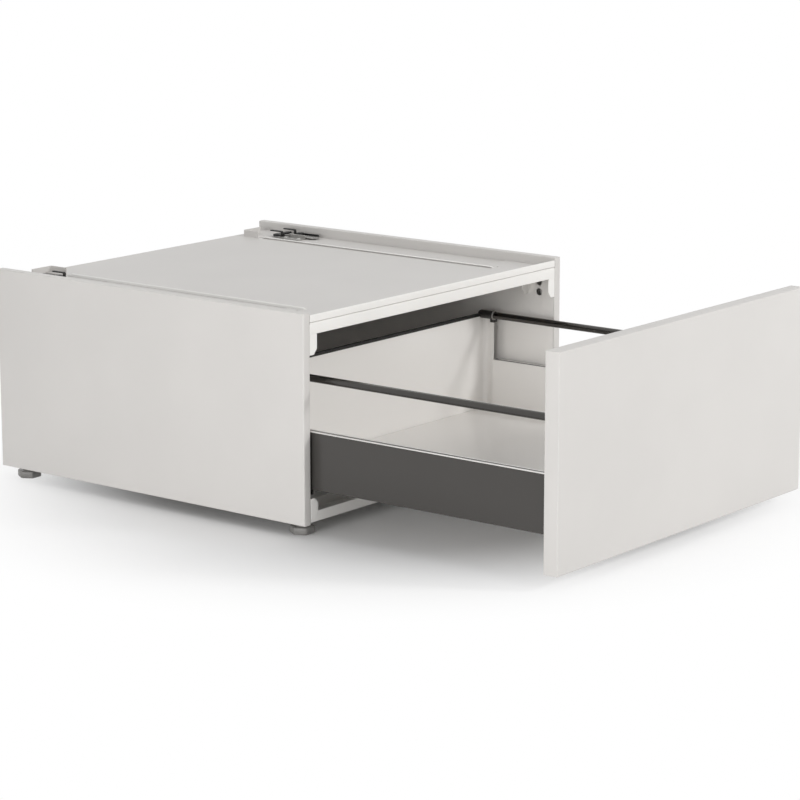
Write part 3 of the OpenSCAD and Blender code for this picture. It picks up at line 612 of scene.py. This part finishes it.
@dataclass
class Casing(Assembly):
    """Folded casing: side panels, deck, stops and front rail.

    The pairs are the first and last Y of the track, rib and stop, the place of the window's low
    corner and of the deck's hole, the depth and width of the crease, and the tab's span in X.
    """

    height: float = 294.6
    depth: float = 584.0
    side: float = 14.0
    skin: float = 1.2
    fold: float = 1.8
    corner: float = 0.9
    window: Pair = (2.6, 3.3)
    back: float = 569.0
    deck: float = 281.5
    deck_sheet: float = 1.5
    deck_front: float = 2.6
    deck_hole: Pair = (67.0, 68.0)
    deck_hole_radius: float = 2.5
    lip_top: float = 290.6
    lip_sheet: float = 3.0
    end_gap: float = 0.6
    track: Pair = (93.0, 516.0)
    track_width: float = 65.0
    track_drop: float = 1.2
    seat: float = 433.0
    seat_drop: float = 0.3
    rib_width: float = 5.0
    rib_height: float = 2.5
    rib: Pair = (64.0, 516.0)
    rib_ramp: float = 5.0
    rib_lift: float = 0.8
    crease: Pair = (1.4, 2.0)
    groove: float = 0.9
    stop: Pair = (524.0, 556.0)
    stop_sheet: float = 1.5
    stop_height: float = 9.6
    stop_foot: float = 14.0
    stop_side_gap: float = 29.0
    rail_low: float = 264.0
    rail_depth: float = 50.0
    rail_sheet: float = 1.5
    tab_low: float = 235.5
    tab: Pair = (14.0, 29.2)
    tab_chamfer: Pair = (6.6, 8.0)

    def side_panels(self) -> None:
        """Folds the two outer skins round the linings."""
        grid = folded_pan(
            (self.depth, self.height), self.side, (self.window, (self.back, self.rail_low)),
            self.skin, self.fold, self.corner, Along.X,
        )
        for side, form in Form().patch(grid).pair(self.width):
            self.piece(form, f"panel_{side}", "white_paint", f"side_panel_{side}")

    def deck_height(self, x: np.ndarray, y: np.ndarray) -> np.ndarray:
        """Height of the deck's upper face.

        The flat deck less a foot track on each side, which smoothsteps lead down over 3 mm,
        less the clamp's seat, less a crease under the free edge of the rib, whose section is a
        squared sine. The crease fades out over the ramps at the rib's ends.
        """
        edge = np.minimum(x, self.width - x) - self.side
        wide = self.track_width
        across = 1 - smoothstep(edge, wide - 2.4, wide + 0.2)
        inside = smoothstep(y, self.track[0] - 3.0, self.track[0] + 3.0)
        inside = inside * (1 - smoothstep(y, self.track[1] - 1.5, self.track[1] + 1.5))
        seat = smoothstep(y, self.seat - 0.5, self.seat + 0.5)
        deep, broad = self.crease
        start = wide + self.rib_width - broad / 2
        crease = np.sin(np.pi * np.clip((edge - start) / broad, 0, 1)) ** 2
        ends = smoothstep(y, self.rib[0], self.rib[0] + self.rib_ramp)
        ends = ends * (1 - smoothstep(y, self.rib[1] - self.rib_ramp, self.rib[1]))
        sunk = across * inside * (self.track_drop + seat * self.seat_drop)
        return self.deck - crease * deep * ends - sunk

    def deck_panel(self) -> None:
        """Presses the deck's tracks, seats and creases and drills its two front holes."""
        half = self.side + self.track_width
        near = np.concatenate([np.arange(half - 3, half, 0.5), np.arange(half, half + 7, 0.2)])
        far = np.linspace(self.side, self.width - self.side, 24)
        x = np.unique(np.round(np.concatenate([near, self.width - near, far]), 3))
        ends = [*self.track, self.seat]
        ramps = [self.rib[0] + self.rib_ramp / 2, self.rib[1] - self.rib_ramp / 2]
        y = np.unique(np.concatenate([
            samples(ends, 3.2, self.deck_front, self.back),
            samples(ramps, 3.0, self.deck_front, self.back),
        ]))
        across, along = np.meshgrid(x, y)
        top = np.stack([across, along, self.deck_height(across, along)], -1)
        form = Form().sheet(top, top - (0, 0, self.deck_sheet))
        deck = self.piece(form, "deck", "white_paint", "deck_panel", smooth=40.0)
        x_hole, y_hole = self.deck_hole
        pin = [(self.deck_hole_radius, -6.0), (self.deck_hole_radius, 6.0)]
        pins = Form()
        for x_at in (x_hole, self.width - x_hole):
            pins.patch(turned(pin, (x_at, y_hole, self.deck), Along.Z, 32))
        drill(deck, pins, self.origin)

    def crosswise(self, outline: np.ndarray, ease: float) -> Form:
        """An outline carried from one side panel to the other."""
        edge = self.side + self.end_gap
        return Form().patch(bar(outline, (edge, self.width - edge), Along.X, ease))

    def lip(self) -> None:
        """Folds the deck's front edge up and back on itself, just above the front rail."""
        low, top = self.deck - self.deck_sheet + self.groove, self.lip_top
        hem = box_outline((0, low), (self.lip_sheet, top), [0.4, 0.3, 1.45, 1.45], 7)
        # The lip is the deck's own sheet, but it is given the lighter rail paint: a painted
        # highlight that makes it read as brightly lit as the front rail.
        self.piece(self.crosswise(hem, 0.35), "deck_lip", "rail_paint", "deck_panel")

    def ribs(self) -> None:
        """Bends up the edges of the tracks, whose free edges hang just above the deck.

        One section is carried along each track. Its height falls to a tenth over the ramps at
        both ends.
        """
        high, wide, lift = self.rib_height, self.rib_width, self.rib_lift
        section = fillet(
            [(-1.2, -1.0), (0.4, 1.5), (1.5, high), (wide, high), (wide, lift), (2.4, lift),
             (1.6, -0.3), (1.6, -1.0)],
            [0.2, 1.0, 1.2, 0.8, 0.6, 0.4, 0.3, 0.2], 6,
        )
        section = section + (self.side + self.track_width, 0)
        raised, flat = section + (0, self.deck), section * (1, 0.1) + (0, self.deck)
        first, last = self.rib
        places = [first, first + self.rib_ramp, last - self.rib_ramp, last]
        left = Form().patch(stack([flat, raised, raised, flat], places, Along.Y))
        left.join(left.mirrored(self.width))
        # The ribs are bent from the deck's white sheet but given the lighter rail paint: a painted
        # highlight along their lit flanks.
        self.piece(left, "track_ribs", "rail_paint", "deck_panel")

    def rear_stops(self) -> None:
        """Bends the stops round the rear ends of the tracks and lays their feet on the deck.

        The angled wall is one outline in plan, carried upwards. Its lowest rows flare by a
        quarter circle, as the bend does that leads into the foot.
        """
        t, low = self.stop_sheet, self.deck
        top = low + self.stop_height
        front, rear = self.stop
        x, x_end = self.side + self.track_width + self.rib_width, self.side + self.stop_side_gap
        wall = fillet(
            [(x, front), (x, rear), (x_end, rear), (x_end, rear - t), (x - t, rear - t),
             (x - t, front)],
            [0.5, 2.7, 0.5, 0.5, 1.2, 0.5], 6,
        )
        flare = [(0.8, 0.0), (0.35, 0.2), (0.1, 0.5), (0.0, 0.9)]
        rows = [inset(wall, -out) for out, _ in flare] + [wall, inset(wall, 0.35)]
        places = [low + up for _, up in flare] + [top - 0.35, top]
        left = Form().patch(stack(rows, places, Along.Z))
        foot = box_outline((x - self.stop_foot, front + 1), (x - t / 2, rear - t / 2), 1.5)
        left.patch(bar(foot, (low, low + t), Along.Z, 0.4))
        left.join(left.mirrored(self.width))
        self.piece(left, "stops", "white_paint", "rear_stops")

    def front_rail(self) -> None:
        """Folds the upper front rail and its chamfered corner tabs."""
        t, deep = self.rail_sheet, self.rail_depth
        low, top = self.rail_low, self.deck - self.deck_sheet
        channel = fillet(
            [(0, low), (0, top), (deep, top), (deep, low), (deep - t, low),
             (deep - t, top - t), (t, top - t), (t, low)],
            [0.5, 0.8, 1.7, 0.5, 0.5, 0.5, 0.5, 0.5], 5,
        )
        x0, x1 = self.tab
        cut, rise = self.tab_chamfer
        tab = fillet(
            [(x0, self.tab_low), (x1 - cut, self.tab_low), (x1, self.tab_low + rise),
             (x1, top - 2), (x0, top - 2)], [0.3, 1.2, 1.2, 0.3, 0.3], 5,
        )
        tabs = Form().patch(bar(tab, (0.4, t), Along.Y, 0.3))
        tabs.patch(bar(tab, (deep - t, deep - 0.4), Along.Y, 0.3))
        form = self.crosswise(channel, 0.4).join(tabs).join(tabs.mirrored(self.width))
        self.piece(form, "front_rail_folded", "rail_paint", "front_rail")

    def make(self) -> None:
        """Builds the casing's pieces."""
        self.side_panels()
        self.deck_panel()
        self.lip()
        self.ribs()
        self.rear_stops()
        self.front_rail()


@dataclass
class Feet(Assembly):
    """Four hexagonal levelling feet on threaded stems."""

    rows: Pair = (28.0, 556.0)
    inset: float = 28.0
    reach: float = 18.0
    corners: float = 18.0
    height: float = 10.8
    stem: float = 5.0
    pitch: float = 1.5
    thread: float = 0.55
    stem_top: float = 18.8

    def threaded(self, low: float, high: float) -> np.ndarray:
        """Threaded stem.

        The radius is the stem's, less the thread's depth times a triangle wave of the height
        over the pitch minus the angle over a full turn.
        """
        height = np.linspace(low, high, int((high - low) / self.pitch * 8))[:, None]
        angle = np.linspace(0, 2 * np.pi, 32, endpoint=False)[None]
        wave = np.abs((height / self.pitch - angle / (2 * np.pi)) % 1 * 2 - 1)
        radius = self.stem - self.thread * wave
        return np.stack([radius * np.cos(angle), radius * np.sin(angle), height + 0 * angle], -1)

    def foot(self) -> Form:
        """One foot, with its sole on z = -reach and its axis at the origin."""
        r, top = self.corners, self.height - self.reach
        hexagon = [
            (r - 2.2, -self.reach), (r - 0.6, -self.reach + 0.7), (r, -self.reach + 2.2),
            (r, top - 2.0), (r - 0.5, top - 0.8), (r - 1.8, top),
        ]
        form = Form().patch(turned(hexagon, (0, 0, 0), Along.Z, corners=0.16))
        collar = [(9.5, top - 0.5), (9.5, top + 1.2), (8.8, top + 1.9), (5.5, top + 1.9)]
        form.patch(turned(collar, (0, 0, 0), Along.Z))
        form.patch(self.threaded(top + 1.0, self.stem_top))
        return form

    def make(self) -> None:
        """Builds the four feet."""
        for row, y in zip(("front", "rear"), self.rows):
            for side, x in (("left", self.inset), ("right", self.width - self.inset)):
                name = f"foot_{row}_{side}"
                form = self.foot().moved((x, y, 0))
                self.piece(form, f"levelling_{name}", "foot_plastic", name, name, 35.0)


@dataclass
class Clamps(Assembly):
    """Foot clamps on the rear of the deck's tracks, measured from the screw on the seat."""

    place: Point = (34.0, 480.0, 280.0)
    prong_top: float = 291.1
    sheet: float = 1.8
    play: float = 0.05
    tongue: float = 18.0
    screw: float = 6.0
    prong: float = 24.0
    prong_width: float = 5.0
    rivet: Pair = (19.5, 14.0)

    def stadium(self, a: Pair, b: Pair, width: float) -> np.ndarray:
        """Outline of a strip with round ends between two points on one axis."""
        r = width / 2
        return box_outline((a[0] - r, a[1] - r), (b[0] + r, b[1] + r), r * 0.995, 9)

    def slotted(self, outer: np.ndarray, inner: np.ndarray, low: float, high: float) -> np.ndarray:
        """Strip with a slot: the outer outline down, under and up through the slot."""
        ease = 0.3
        rows = [inset(outer, ease), outer, outer, inset(outer, ease)]
        rows += [inset(inner, -ease), inner, inner, inset(inner, -ease)]
        places = [high, high - ease, low + ease, low, low, low + ease, high - ease, high]
        return stack(rows, places, Along.Z)

    def plate(self) -> Form:
        """Base plate with its two upturned guide edges."""
        t, half = self.sheet, self.tongue / 2 + 0.5
        base = box_outline((-half - t, -20), (half + 18, 20), 1.6)
        form = Form().patch(bar(base, (0, t), Along.Z, 0.25))
        for x in (-half - t, half):
            edge = box_outline((-20, 0.2), (14, 6.5), [0.2, 0.2, 2.6, 2.6], 6)
            form.patch(bar(edge, (x, x + t), Along.X, 0.25))
        return form

    def slide(self) -> Form:
        """Slotted tongue with round ends."""
        tongue = self.stadium((0, -28), (0, 31), self.tongue)
        slot = self.stadium((0, -8), (0, 8), self.screw + 1)
        return Form().patch(self.slotted(tongue, slot, 0, self.sheet), loop=True)

    def grip(self) -> Form:
        """Cross bar with an eye, two prongs that point backwards, and the tongue's dark rim.

        One prong stands on the tongue and one on an arm of the bar. Each is a strip that rises,
        turns through a round bend and runs backwards over the bar.
        """
        t = self.sheet
        cross = self.stadium((-8, 31), (22, 31), 10)
        eye = box_outline((20, 29), (24, 33), 1.99, 9)
        form = Form().patch(self.slotted(cross, eye, t * 0.5, 2 * t), loop=True)
        arm = box_outline((18, 19), (23, 30), 0.5)
        form.patch(bar(arm, (0.9 * t, 2 * t - 0.1), Along.Z, 0.2))
        top = self.prong_top - self.place[2] - (t + self.play)
        for x, front, foot in ((-8, 14, t * 0.6), (18, 19, t)):
            rear = front + self.prong
            strip = fillet(
                [(front, foot), (front, top), (rear, top), (rear, top - t), (front + t, top - t),
                 (front + t, foot)],
                [0.2, 3.2, 0.6, 0.6, 1.4, 0.2], 6,
            )
            form.patch(bar(strip, (x, x + self.prong_width), Along.X, 0.3))
        side = -self.tongue / 2
        rim = box_outline((-32, 0.3), (8, 4.6), [0.2, 0.2, 2.0, 2.0], 6)
        form.patch(bar(rim, (side + 0.1, side + t), Along.X, 0.3))
        return form

    def fastener(self) -> Form:
        """Hexagon screw with a washer face, its shank and the nut under the deck."""
        head = 2 * (self.sheet + self.play)
        shank = self.screw / 2
        form = Form()
        for rows, corners in (
            ([(5.9, head), (6.1, head + 0.3), (6.25, head + 0.7), (6.25, head + 3.7),
              (5.6, head + 4.5)], 0.06),
            ([(shank, -8.0), (shank, head)], 0.0),
            ([(5.2, -6.5), (5.75, -5.9), (5.75, -2.2), (5.2, -1.6)], 0.06),
        ):
            form.patch(turned(rows, (0, 0, 0), Along.Z, 32, corners))
        return form

    def rivets(self) -> Form:
        """Two domed rivets: radius 3 cos t and height 1.4 sin t over the plate."""
        form = Form()
        turn = np.linspace(0, np.pi / 2 - 0.05, 6)
        dome = [(3.0 * math.cos(a), self.sheet + 1.4 * math.sin(a)) for a in turn]
        x, reach = self.rivet
        for y in (-reach, reach):
            form.patch(turned([(1.5, 0), (1.5, self.sheet), *dome], (x, y, 0), Along.Z, 24))
        return form

    def placed(self, form: Form, side: str) -> Form:
        """The form at its side's seat."""
        form = form.moved(self.place)
        return form.mirrored(self.width) if side == "right" else form

    def make(self) -> None:
        """Builds both clamps."""
        up = (0, 0, self.sheet + self.play)
        rivets = Form()
        for side in ("left", "right"):
            jaw, screw = f"clamp_jaw_{side}", f"clamp_screw_{side}"
            for form, name, slot, node, body in (
                (self.plate(), "plate", "zinc_steel", f"clamp_plate_{side}", "casing"),
                (self.slide().moved(up), "jaw_tongue", "zinc_steel", jaw, jaw),
                (self.grip().moved(up), "jaw_grip", "black_steel", jaw, jaw),
                (self.fastener(), "clamp_bolt", "black_steel", screw, screw),
            ):
                self.piece(self.placed(form, side), f"{name}_{side}", slot, node, body)
            rivets.join(self.placed(self.rivets(), side))
        self.piece(rivets, "rivets", "zinc_steel", "clamp_rivets")


@dataclass
class Drawer(Assembly):
    """Drawer front, sides and rear wall."""

    origin: Vector = field(default_factory=lambda: Vector((
        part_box("drawer_front_shell")[0][0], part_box("drawer_front_shell")[1][1],
        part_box("side_panel_left")[0][2],
    )))
    body: str = "drawer"
    front: float = 22.4
    rise: float = 1.6
    height: float = 293.0
    flange: float = 16.0
    sheet: float = 1.0
    fold: float = 1.5
    corner: float = 0.8
    side: Pair = (18.0, 31.0)
    low: float = 48.8
    top: float = 130.0
    length: float = 516.6
    side_length: float = 496.2
    floor: float = 53.5
    back_x: float = 28.0
    back_top: float = 196.2
    return_depth: float = 16.8
    hem: float = 3.4
    hem_drop: float = 1.3
    groove_drop: float = 0.7
    rim: float = 2.6

    def return_edge(self) -> float:
        """Where the front edges of the rear wall's returns lie."""
        return self.length - self.return_depth

    def shell(self) -> None:
        """Folds the skin of the drawer front."""
        low = self.flange
        window = ((low, low), (self.width - low, self.height - low))
        grid = folded_pan(
            (self.width, self.height), self.front, window, self.sheet, self.fold, self.corner,
            Along.Y,
        )
        form = Form().patch(grid).moved((0, -self.front, self.rise))
        self.piece(form, "front_skin", "white_paint", "drawer_front_shell")

    def sides(self) -> None:
        """Folds the dark outer and pale inner skins of the drawer sides."""
        x0, x1 = self.side
        z0, z1 = self.low, self.top
        edge, sunk, gap = z1 - self.hem_drop, z1 - self.groove_drop, x1 - self.rim
        outer = fillet(
            [(x0 + 3, z0), (x0, z0), (x0, edge), (x0 + 0.8, edge), (x0 + 0.8, sunk), (gap, sunk),
             (gap, z1 - 8), (gap - 1, z1 - 8), (gap - 1, sunk - 1), (x0 + 1, sunk - 1),
             (x0 + 1, z0 + 1), (x0 + 3, z0 + 1)],
            [0.3, 1.4, 0.2, 0.2, 0.2, 0.3, 0.3, 0.3, 0.3, 0.3, 0.4, 0.3], 6,
        )
        hem = box_outline((x0, edge), (x0 + self.hem, z1), 0.5)
        t = z1 - 0.2
        shelf = self.floor - 1
        inner = fillet(
            [(gap, t - 8), (gap, t), (x1, t), (x1, shelf), (x1 + 12, shelf),
             (x1 + 12, shelf - 1), (x1, shelf - 1), (x1, z0), (x1 - 1, z0), (x1 - 1, t - 1),
             (gap + 1, t - 1), (gap + 1, t - 8)],
            [0.2, 0.9, 0.9, 0.2, 0.2, 0.2, 0.2, 0.2, 0.2, 0.3, 0.3, 0.2], 6,
        )
        for outline, name, slot, node in (
            (outer, "skin", "dark_paint", "drawer_side"),
            (inner, "lining", "lining_paint", "drawer_side_lining"),
        ):
            left = Form().patch(bar(outline, (0, self.return_edge() + 0.5), Along.Y, 0.2))
            if slot == "lining_paint":
                left.patch(bar(hem, (0, self.side_length), Along.Y, 0.2))
            for side, form in left.pair(self.width):
                self.piece(form, f"drawer_{name}_{side}", slot, f"{node}_{side}")

    def back(self) -> None:
        """Folds the rear wall with its forward returns."""
        x0, x1 = self.back_x, self.width - self.back_x
        y0, y1 = self.return_edge(), self.length
        plan = fillet(
            [(x0 - 1, y0), (x0, y0), (x0, y1), (x1, y1), (x1, y0), (x1 + 1, y0),
             (x1 + 1, y1 + 1), (x0 - 1, y1 + 1)],
            [0.3, 0.3, 8, 8, 0.3, 0.3, 9, 9], 9,
        )
        form = Form().patch(bar(plan, (self.floor - 2, self.back_top), Along.Z, 0.25))
        rim = box_outline((x0, y0 + 0.7), (self.side[1] + 0.2, y0 + 2.2), 0.4)
        rims = Form().patch(bar(rim, (self.floor - 1.5, self.top - 2), Along.Z, 0.2))
        form.join(rims).join(rims.mirrored(self.width))
        under = box_outline((self.side[1] + 12, y0 + 4), (self.width - self.side[1] - 12, y1), 1)
        form.patch(bar(under, (self.floor - 2, self.floor - 1), Along.Z, 0.1))
        self.piece(form, "rear_wall", "lining_paint", "drawer_back")

    def make(self) -> None:
        """Builds the drawer's pieces."""
        self.shell()
        self.sides()
        self.back()


@dataclass
class Gallery:
    """Round tubes, their sockets and connectors, and the rear bar."""

    drawer: Drawer
    x: float = 35.5
    z: float = 199.4
    radius: float = 5.25
    wall: float = 1.0
    ends: Pair = (2.0, 510.6)
    play: float = 0.05
    sleeve: float = 6.35
    sleeve_reach: float = 23.0
    collar: float = 7.25
    saddle: float = 7.5
    bar_height: float = 4.8
    bar_width: float = 6.0

    def turned(self, rows: Sequence[Pair], loop: bool = False) -> Form:
        """A profile turned about the left tube's axis."""
        return Form().patch(turned(rows, (self.x, 0, self.z), Along.Y, 64), loop)

    def tube(self) -> Form:
        """A tube: its outside, its end faces and its bore in one closed surface."""
        low, high = self.ends
        r, bore = self.radius, self.radius - self.wall
        rows = [(r - 0.2, low), (r, low + 0.2), (r, high - 0.2), (r - 0.2, high), (bore, high),
                (bore, low)]
        return self.turned(rows, loop=True)

    def socket(self) -> Form:
        """Cup with a flange on the drawer front."""
        bore = self.radius + self.play
        rows = [(self.collar + 0.4, 0), (self.collar + 1, 0.5), (self.collar + 1, 1.5),
                (self.collar + 0.6, 2), (self.sleeve + 0.4, 2.1), (self.sleeve, 2.8),
                (self.sleeve, 13.2), (self.sleeve - 0.5, 14), (bore, 14), (bore, 2), (0.01, 2)]
        return self.turned(rows)

    def connector(self) -> Form:
        """Sleeve with a collar and a domed rear end.

        A lug under the collar grips the front edge of the rear wall's return, and a saddle
        rests on the rear wall.
        """
        end, s, c = self.drawer.length, self.sleeve, self.collar
        front = end - self.sleeve_reach
        bore = self.radius + self.play
        turn = np.linspace(0, np.pi / 2 - 0.03, 9)
        dome = [(s * math.cos(a), end + s * math.sin(a)) for a in turn]
        rows = [(bore, self.ends[1]), (bore, front), (c - 0.6, front), (c, front + 0.5),
                (c, front + 2.5), (c - 0.5, front + 3), (s + 0.2, front + 3.2), (s, front + 4),
                *dome]
        form = self.turned(rows)
        low, high = self.x - self.saddle, self.x + self.saddle
        top = self.drawer.back_top
        saddle = box_outline((low, end - 3), (high, end + 4), 2.2)
        form.patch(bar(saddle, (top + 0.02, self.z + 0.6), Along.Z, 0.5))
        edge = self.drawer.return_edge()
        lug = box_outline((self.drawer.back_x - 2.6, edge - 5.2), (self.x - 1, edge + 3), 1.2)
        form.patch(bar(lug, (top - 8.6, self.z - 2), Along.Z, 0.6))
        return form

    def ring(self) -> Form:
        """Bright ferrule at the mouth of the connector."""
        front = self.drawer.length - self.sleeve_reach
        bore, out = self.radius + self.play, self.collar - 0.25
        rows = [(bore, front + 0.3), (bore, front - 1.4), (out - 0.5, front - 1.4),
                (out, front - 0.9), (out, front + 0.3)]
        return self.turned(rows, loop=True)

    def rear_bar(self) -> Form:
        """Bar with rounded edges along the rear wall."""
        middle = self.drawer.length + 0.5
        half, top = self.bar_width / 2, self.drawer.back_top
        outline = box_outline((middle - half, top), (middle + half, top + self.bar_height), 1.4)
        end = self.x + self.saddle
        return Form().patch(bar(outline, (end, self.drawer.width - end), Along.X, 0.2))

    def make(self) -> None:
        """Builds the gallery's pieces."""
        kinds: tuple[tuple[Callable[[], Form], str, str], ...] = (
            (self.tube, "gallery_tube", "tube_chrome"),
            (self.socket, "tube_socket", "black_plastic"),
            (self.connector, "tube_connector", "black_plastic"),
            (self.ring, "tube_connector", "zinc_steel"),
        )
        for shape, node, slot in kinds:
            for side, form in shape().pair(self.drawer.width):
                name = f"{shape.__name__}_{side}_turned"
                self.drawer.piece(form, name, slot, f"{node}_{side}")
        self.drawer.piece(self.rear_bar(), "rear_bar_rounded", "black_steel", "rear_bar")


@dataclass
class Hardware:
    """CAD nodes that keep their shape: each gets its slot's finish and eased edges."""

    ease: float = 0.35
    weld: float = 0.01
    sharp: float = 35.0
    plain: tuple[str, ...] = ("roller", "screw", "nut")

    def make(self) -> None:
        """Dresses each CAD node that is still shown."""
        slots = {part["node"]: part["material_slot"] for part in frame["record"]["subparts"]}
        for name, node in frame["nodes"].items():
            material = MIXED[slots[name]]
            if not node.data.materials:
                node.data.materials.append(material)
            for slot in node.material_slots:
                slot.material = material
            if node.hide_render or any(word in name for word in self.plain):
                continue
            weld = node.modifiers.new("weld", "WELD")
            weld.merge_threshold = self.weld * MM
            bevel = node.modifiers.new("eased_edges", "BEVEL")
            bevel.width = self.ease * MM
            bevel.segments = 2
            bevel.limit_method = "ANGLE"
            bevel.angle_limit = math.radians(self.sharp)
            bevel.harden_normals = True
            LOG.info("%s keeps its shape, in %s", name, slots[name])


# ---- Studio ----


@dataclass(frozen=True)
class Lamp:
    """A soft square lamp, in metres and watts."""

    name: str
    place: Point
    size: float
    power: float

    def hang(self, target: Point) -> None:
        """Puts the lamp into the scene, turned to the target."""
        light = bpy.data.lights.new(self.name, "AREA")
        light.shape = "SQUARE"
        light.size = self.size
        light.energy = self.power
        lamp = bpy.data.objects.new(self.name, light)
        lamp.location = self.place
        aim = Vector(target) - Vector(self.place)
        lamp.rotation_mode = "QUATERNION"
        lamp.rotation_quaternion = aim.to_track_quat("-Z", "Y")
        bpy.context.collection.objects.link(lamp)


@dataclass
class Studio:
    """Camera, pale floor, white surroundings and soft lamps."""

    place: Point = (-3.2651, -2.5854, 1.0378)
    yaw: float = 0.9033
    pitch: float = 0.2139
    lens: float = 132.6
    floor_size: float = 9.0
    floor_glow: Pair = (0.3, 0.7)
    ambient: float = 0.44
    target: Point = (0.0, -0.1, 0.12)
    lamps: tuple[Lamp, ...] = (
        Lamp("left_softbox", (-3.0, -0.55, 0.45), 0.9, 35.5),
        Lamp("front_softbox", (-0.5, -5.1, 2.9), 2.2, 48.5),
        Lamp("right_softbox", (1.15, -2.9, 1.65), 0.5, 36.0),
        Lamp("top_softbox", (0.0, -0.6, 3.0), 2.0, 8.0),
        Lamp("back_softbox", (0.8, 2.6, 2.2), 2.0, 16.0),
    )

    def camera(self) -> None:
        """Sets the camera at the photograph's viewing angle."""
        data = bpy.data.cameras.new("camera")
        data.sensor_width = 36.0
        data.lens = self.lens
        data.clip_end = 60.0
        camera = bpy.data.objects.new("camera", data)
        level, drop = math.cos(self.pitch), -math.sin(self.pitch)
        look = Vector((math.sin(self.yaw) * level, math.cos(self.yaw) * level, drop))
        camera.location = self.place
        camera.rotation_mode = "QUATERNION"
        camera.rotation_quaternion = look.to_track_quat("-Z", "Y")
        bpy.context.collection.objects.link(camera)
        bpy.context.scene.camera = camera

    def floor(self) -> None:
        """Lays a round floor whose far parts turn as white as the surroundings."""
        radius = np.linspace(0.01, self.floor_size, 12)[:, None]
        angle = np.linspace(0, 2 * np.pi, 64, endpoint=False)[None]
        disc = np.stack([radius * np.cos(angle), radius * np.sin(angle), 0 * radius * angle], -1)
        rows, cols = disc.shape[:2]
        index = np.arange(rows * cols).reshape(rows, cols)
        index = np.concatenate([index, index[:, :1]], 1)
        faces = [tuple(index[0, :cols].tolist()), *quads(index.T)]
        mesh = bpy.data.meshes.new("floor")
        mesh.from_pydata(disc.reshape(-1, 3).tolist(), [], faces)
        floor = bpy.data.objects.new("floor", mesh)
        bpy.context.collection.objects.link(floor)
        made = bpy.data.materials.new("floor_paper")
        graph = Graph(made)
        paper = graph.add("BsdfPrincipled", {
            "Base Color": PAPER, "Roughness": 0.9, "Specular IOR Level": 0.1})
        glow = graph.add("Emission", {"Color": WHITE, "Strength": 1.0})
        reach = graph.add("VectorMath", {0: graph.position()}, "Value", operation="LENGTH")
        seen = graph.add("LightPath", output="Is Camera Ray")
        glossy = graph.add("LightPath", output="Is Glossy Ray")
        far = graph.band(reach, *self.floor_glow)
        share = (seen + glossy) * far
        graph.surface(graph.add("MixShader", {0: share, 1: paper, 2: glow}))
        mesh.materials.append(made)

    def surroundings(self) -> None:
        """Soft white light from everywhere, and plain white where the camera sees it."""
        world = bpy.data.worlds.new("studio")
        bpy.context.scene.world = world
        graph = Graph(world)
        white = graph.add("LightPath", output="Is Camera Ray")
        for ray in ("Is Glossy Ray", "Is Transmission Ray"):
            other = graph.add("LightPath", output=ray)
            white = graph.add("Math", {0: white, 1: other}, operation="MAXIMUM")
        strength = white * (1 - self.ambient) + self.ambient
        light = graph.add("Background", {"Color": WHITE, "Strength": strength})
        graph.add("OutputWorld", {"Surface": light})

    def make(self) -> None:
        """Builds the studio."""
        self.camera()
        self.floor()
        self.surroundings()
        for lamp in self.lamps:
            lamp.hang(self.target)
        bpy.context.scene.view_settings.view_transform = "Standard"


def main() -> None:
    """Builds the studio and the object's sub-assemblies, in order."""
    logging.basicConfig(level=logging.INFO, format="%(message)s")
    Studio().make()
    mix_finishes()
    drawer = Drawer()
    for part in (Casing(), Feet(), Clamps(), drawer, Gallery(drawer), Hardware()):
        LOG.info("== %s", type(part).__name__)
        part.make()


if __name__ == "__main__":
    main()
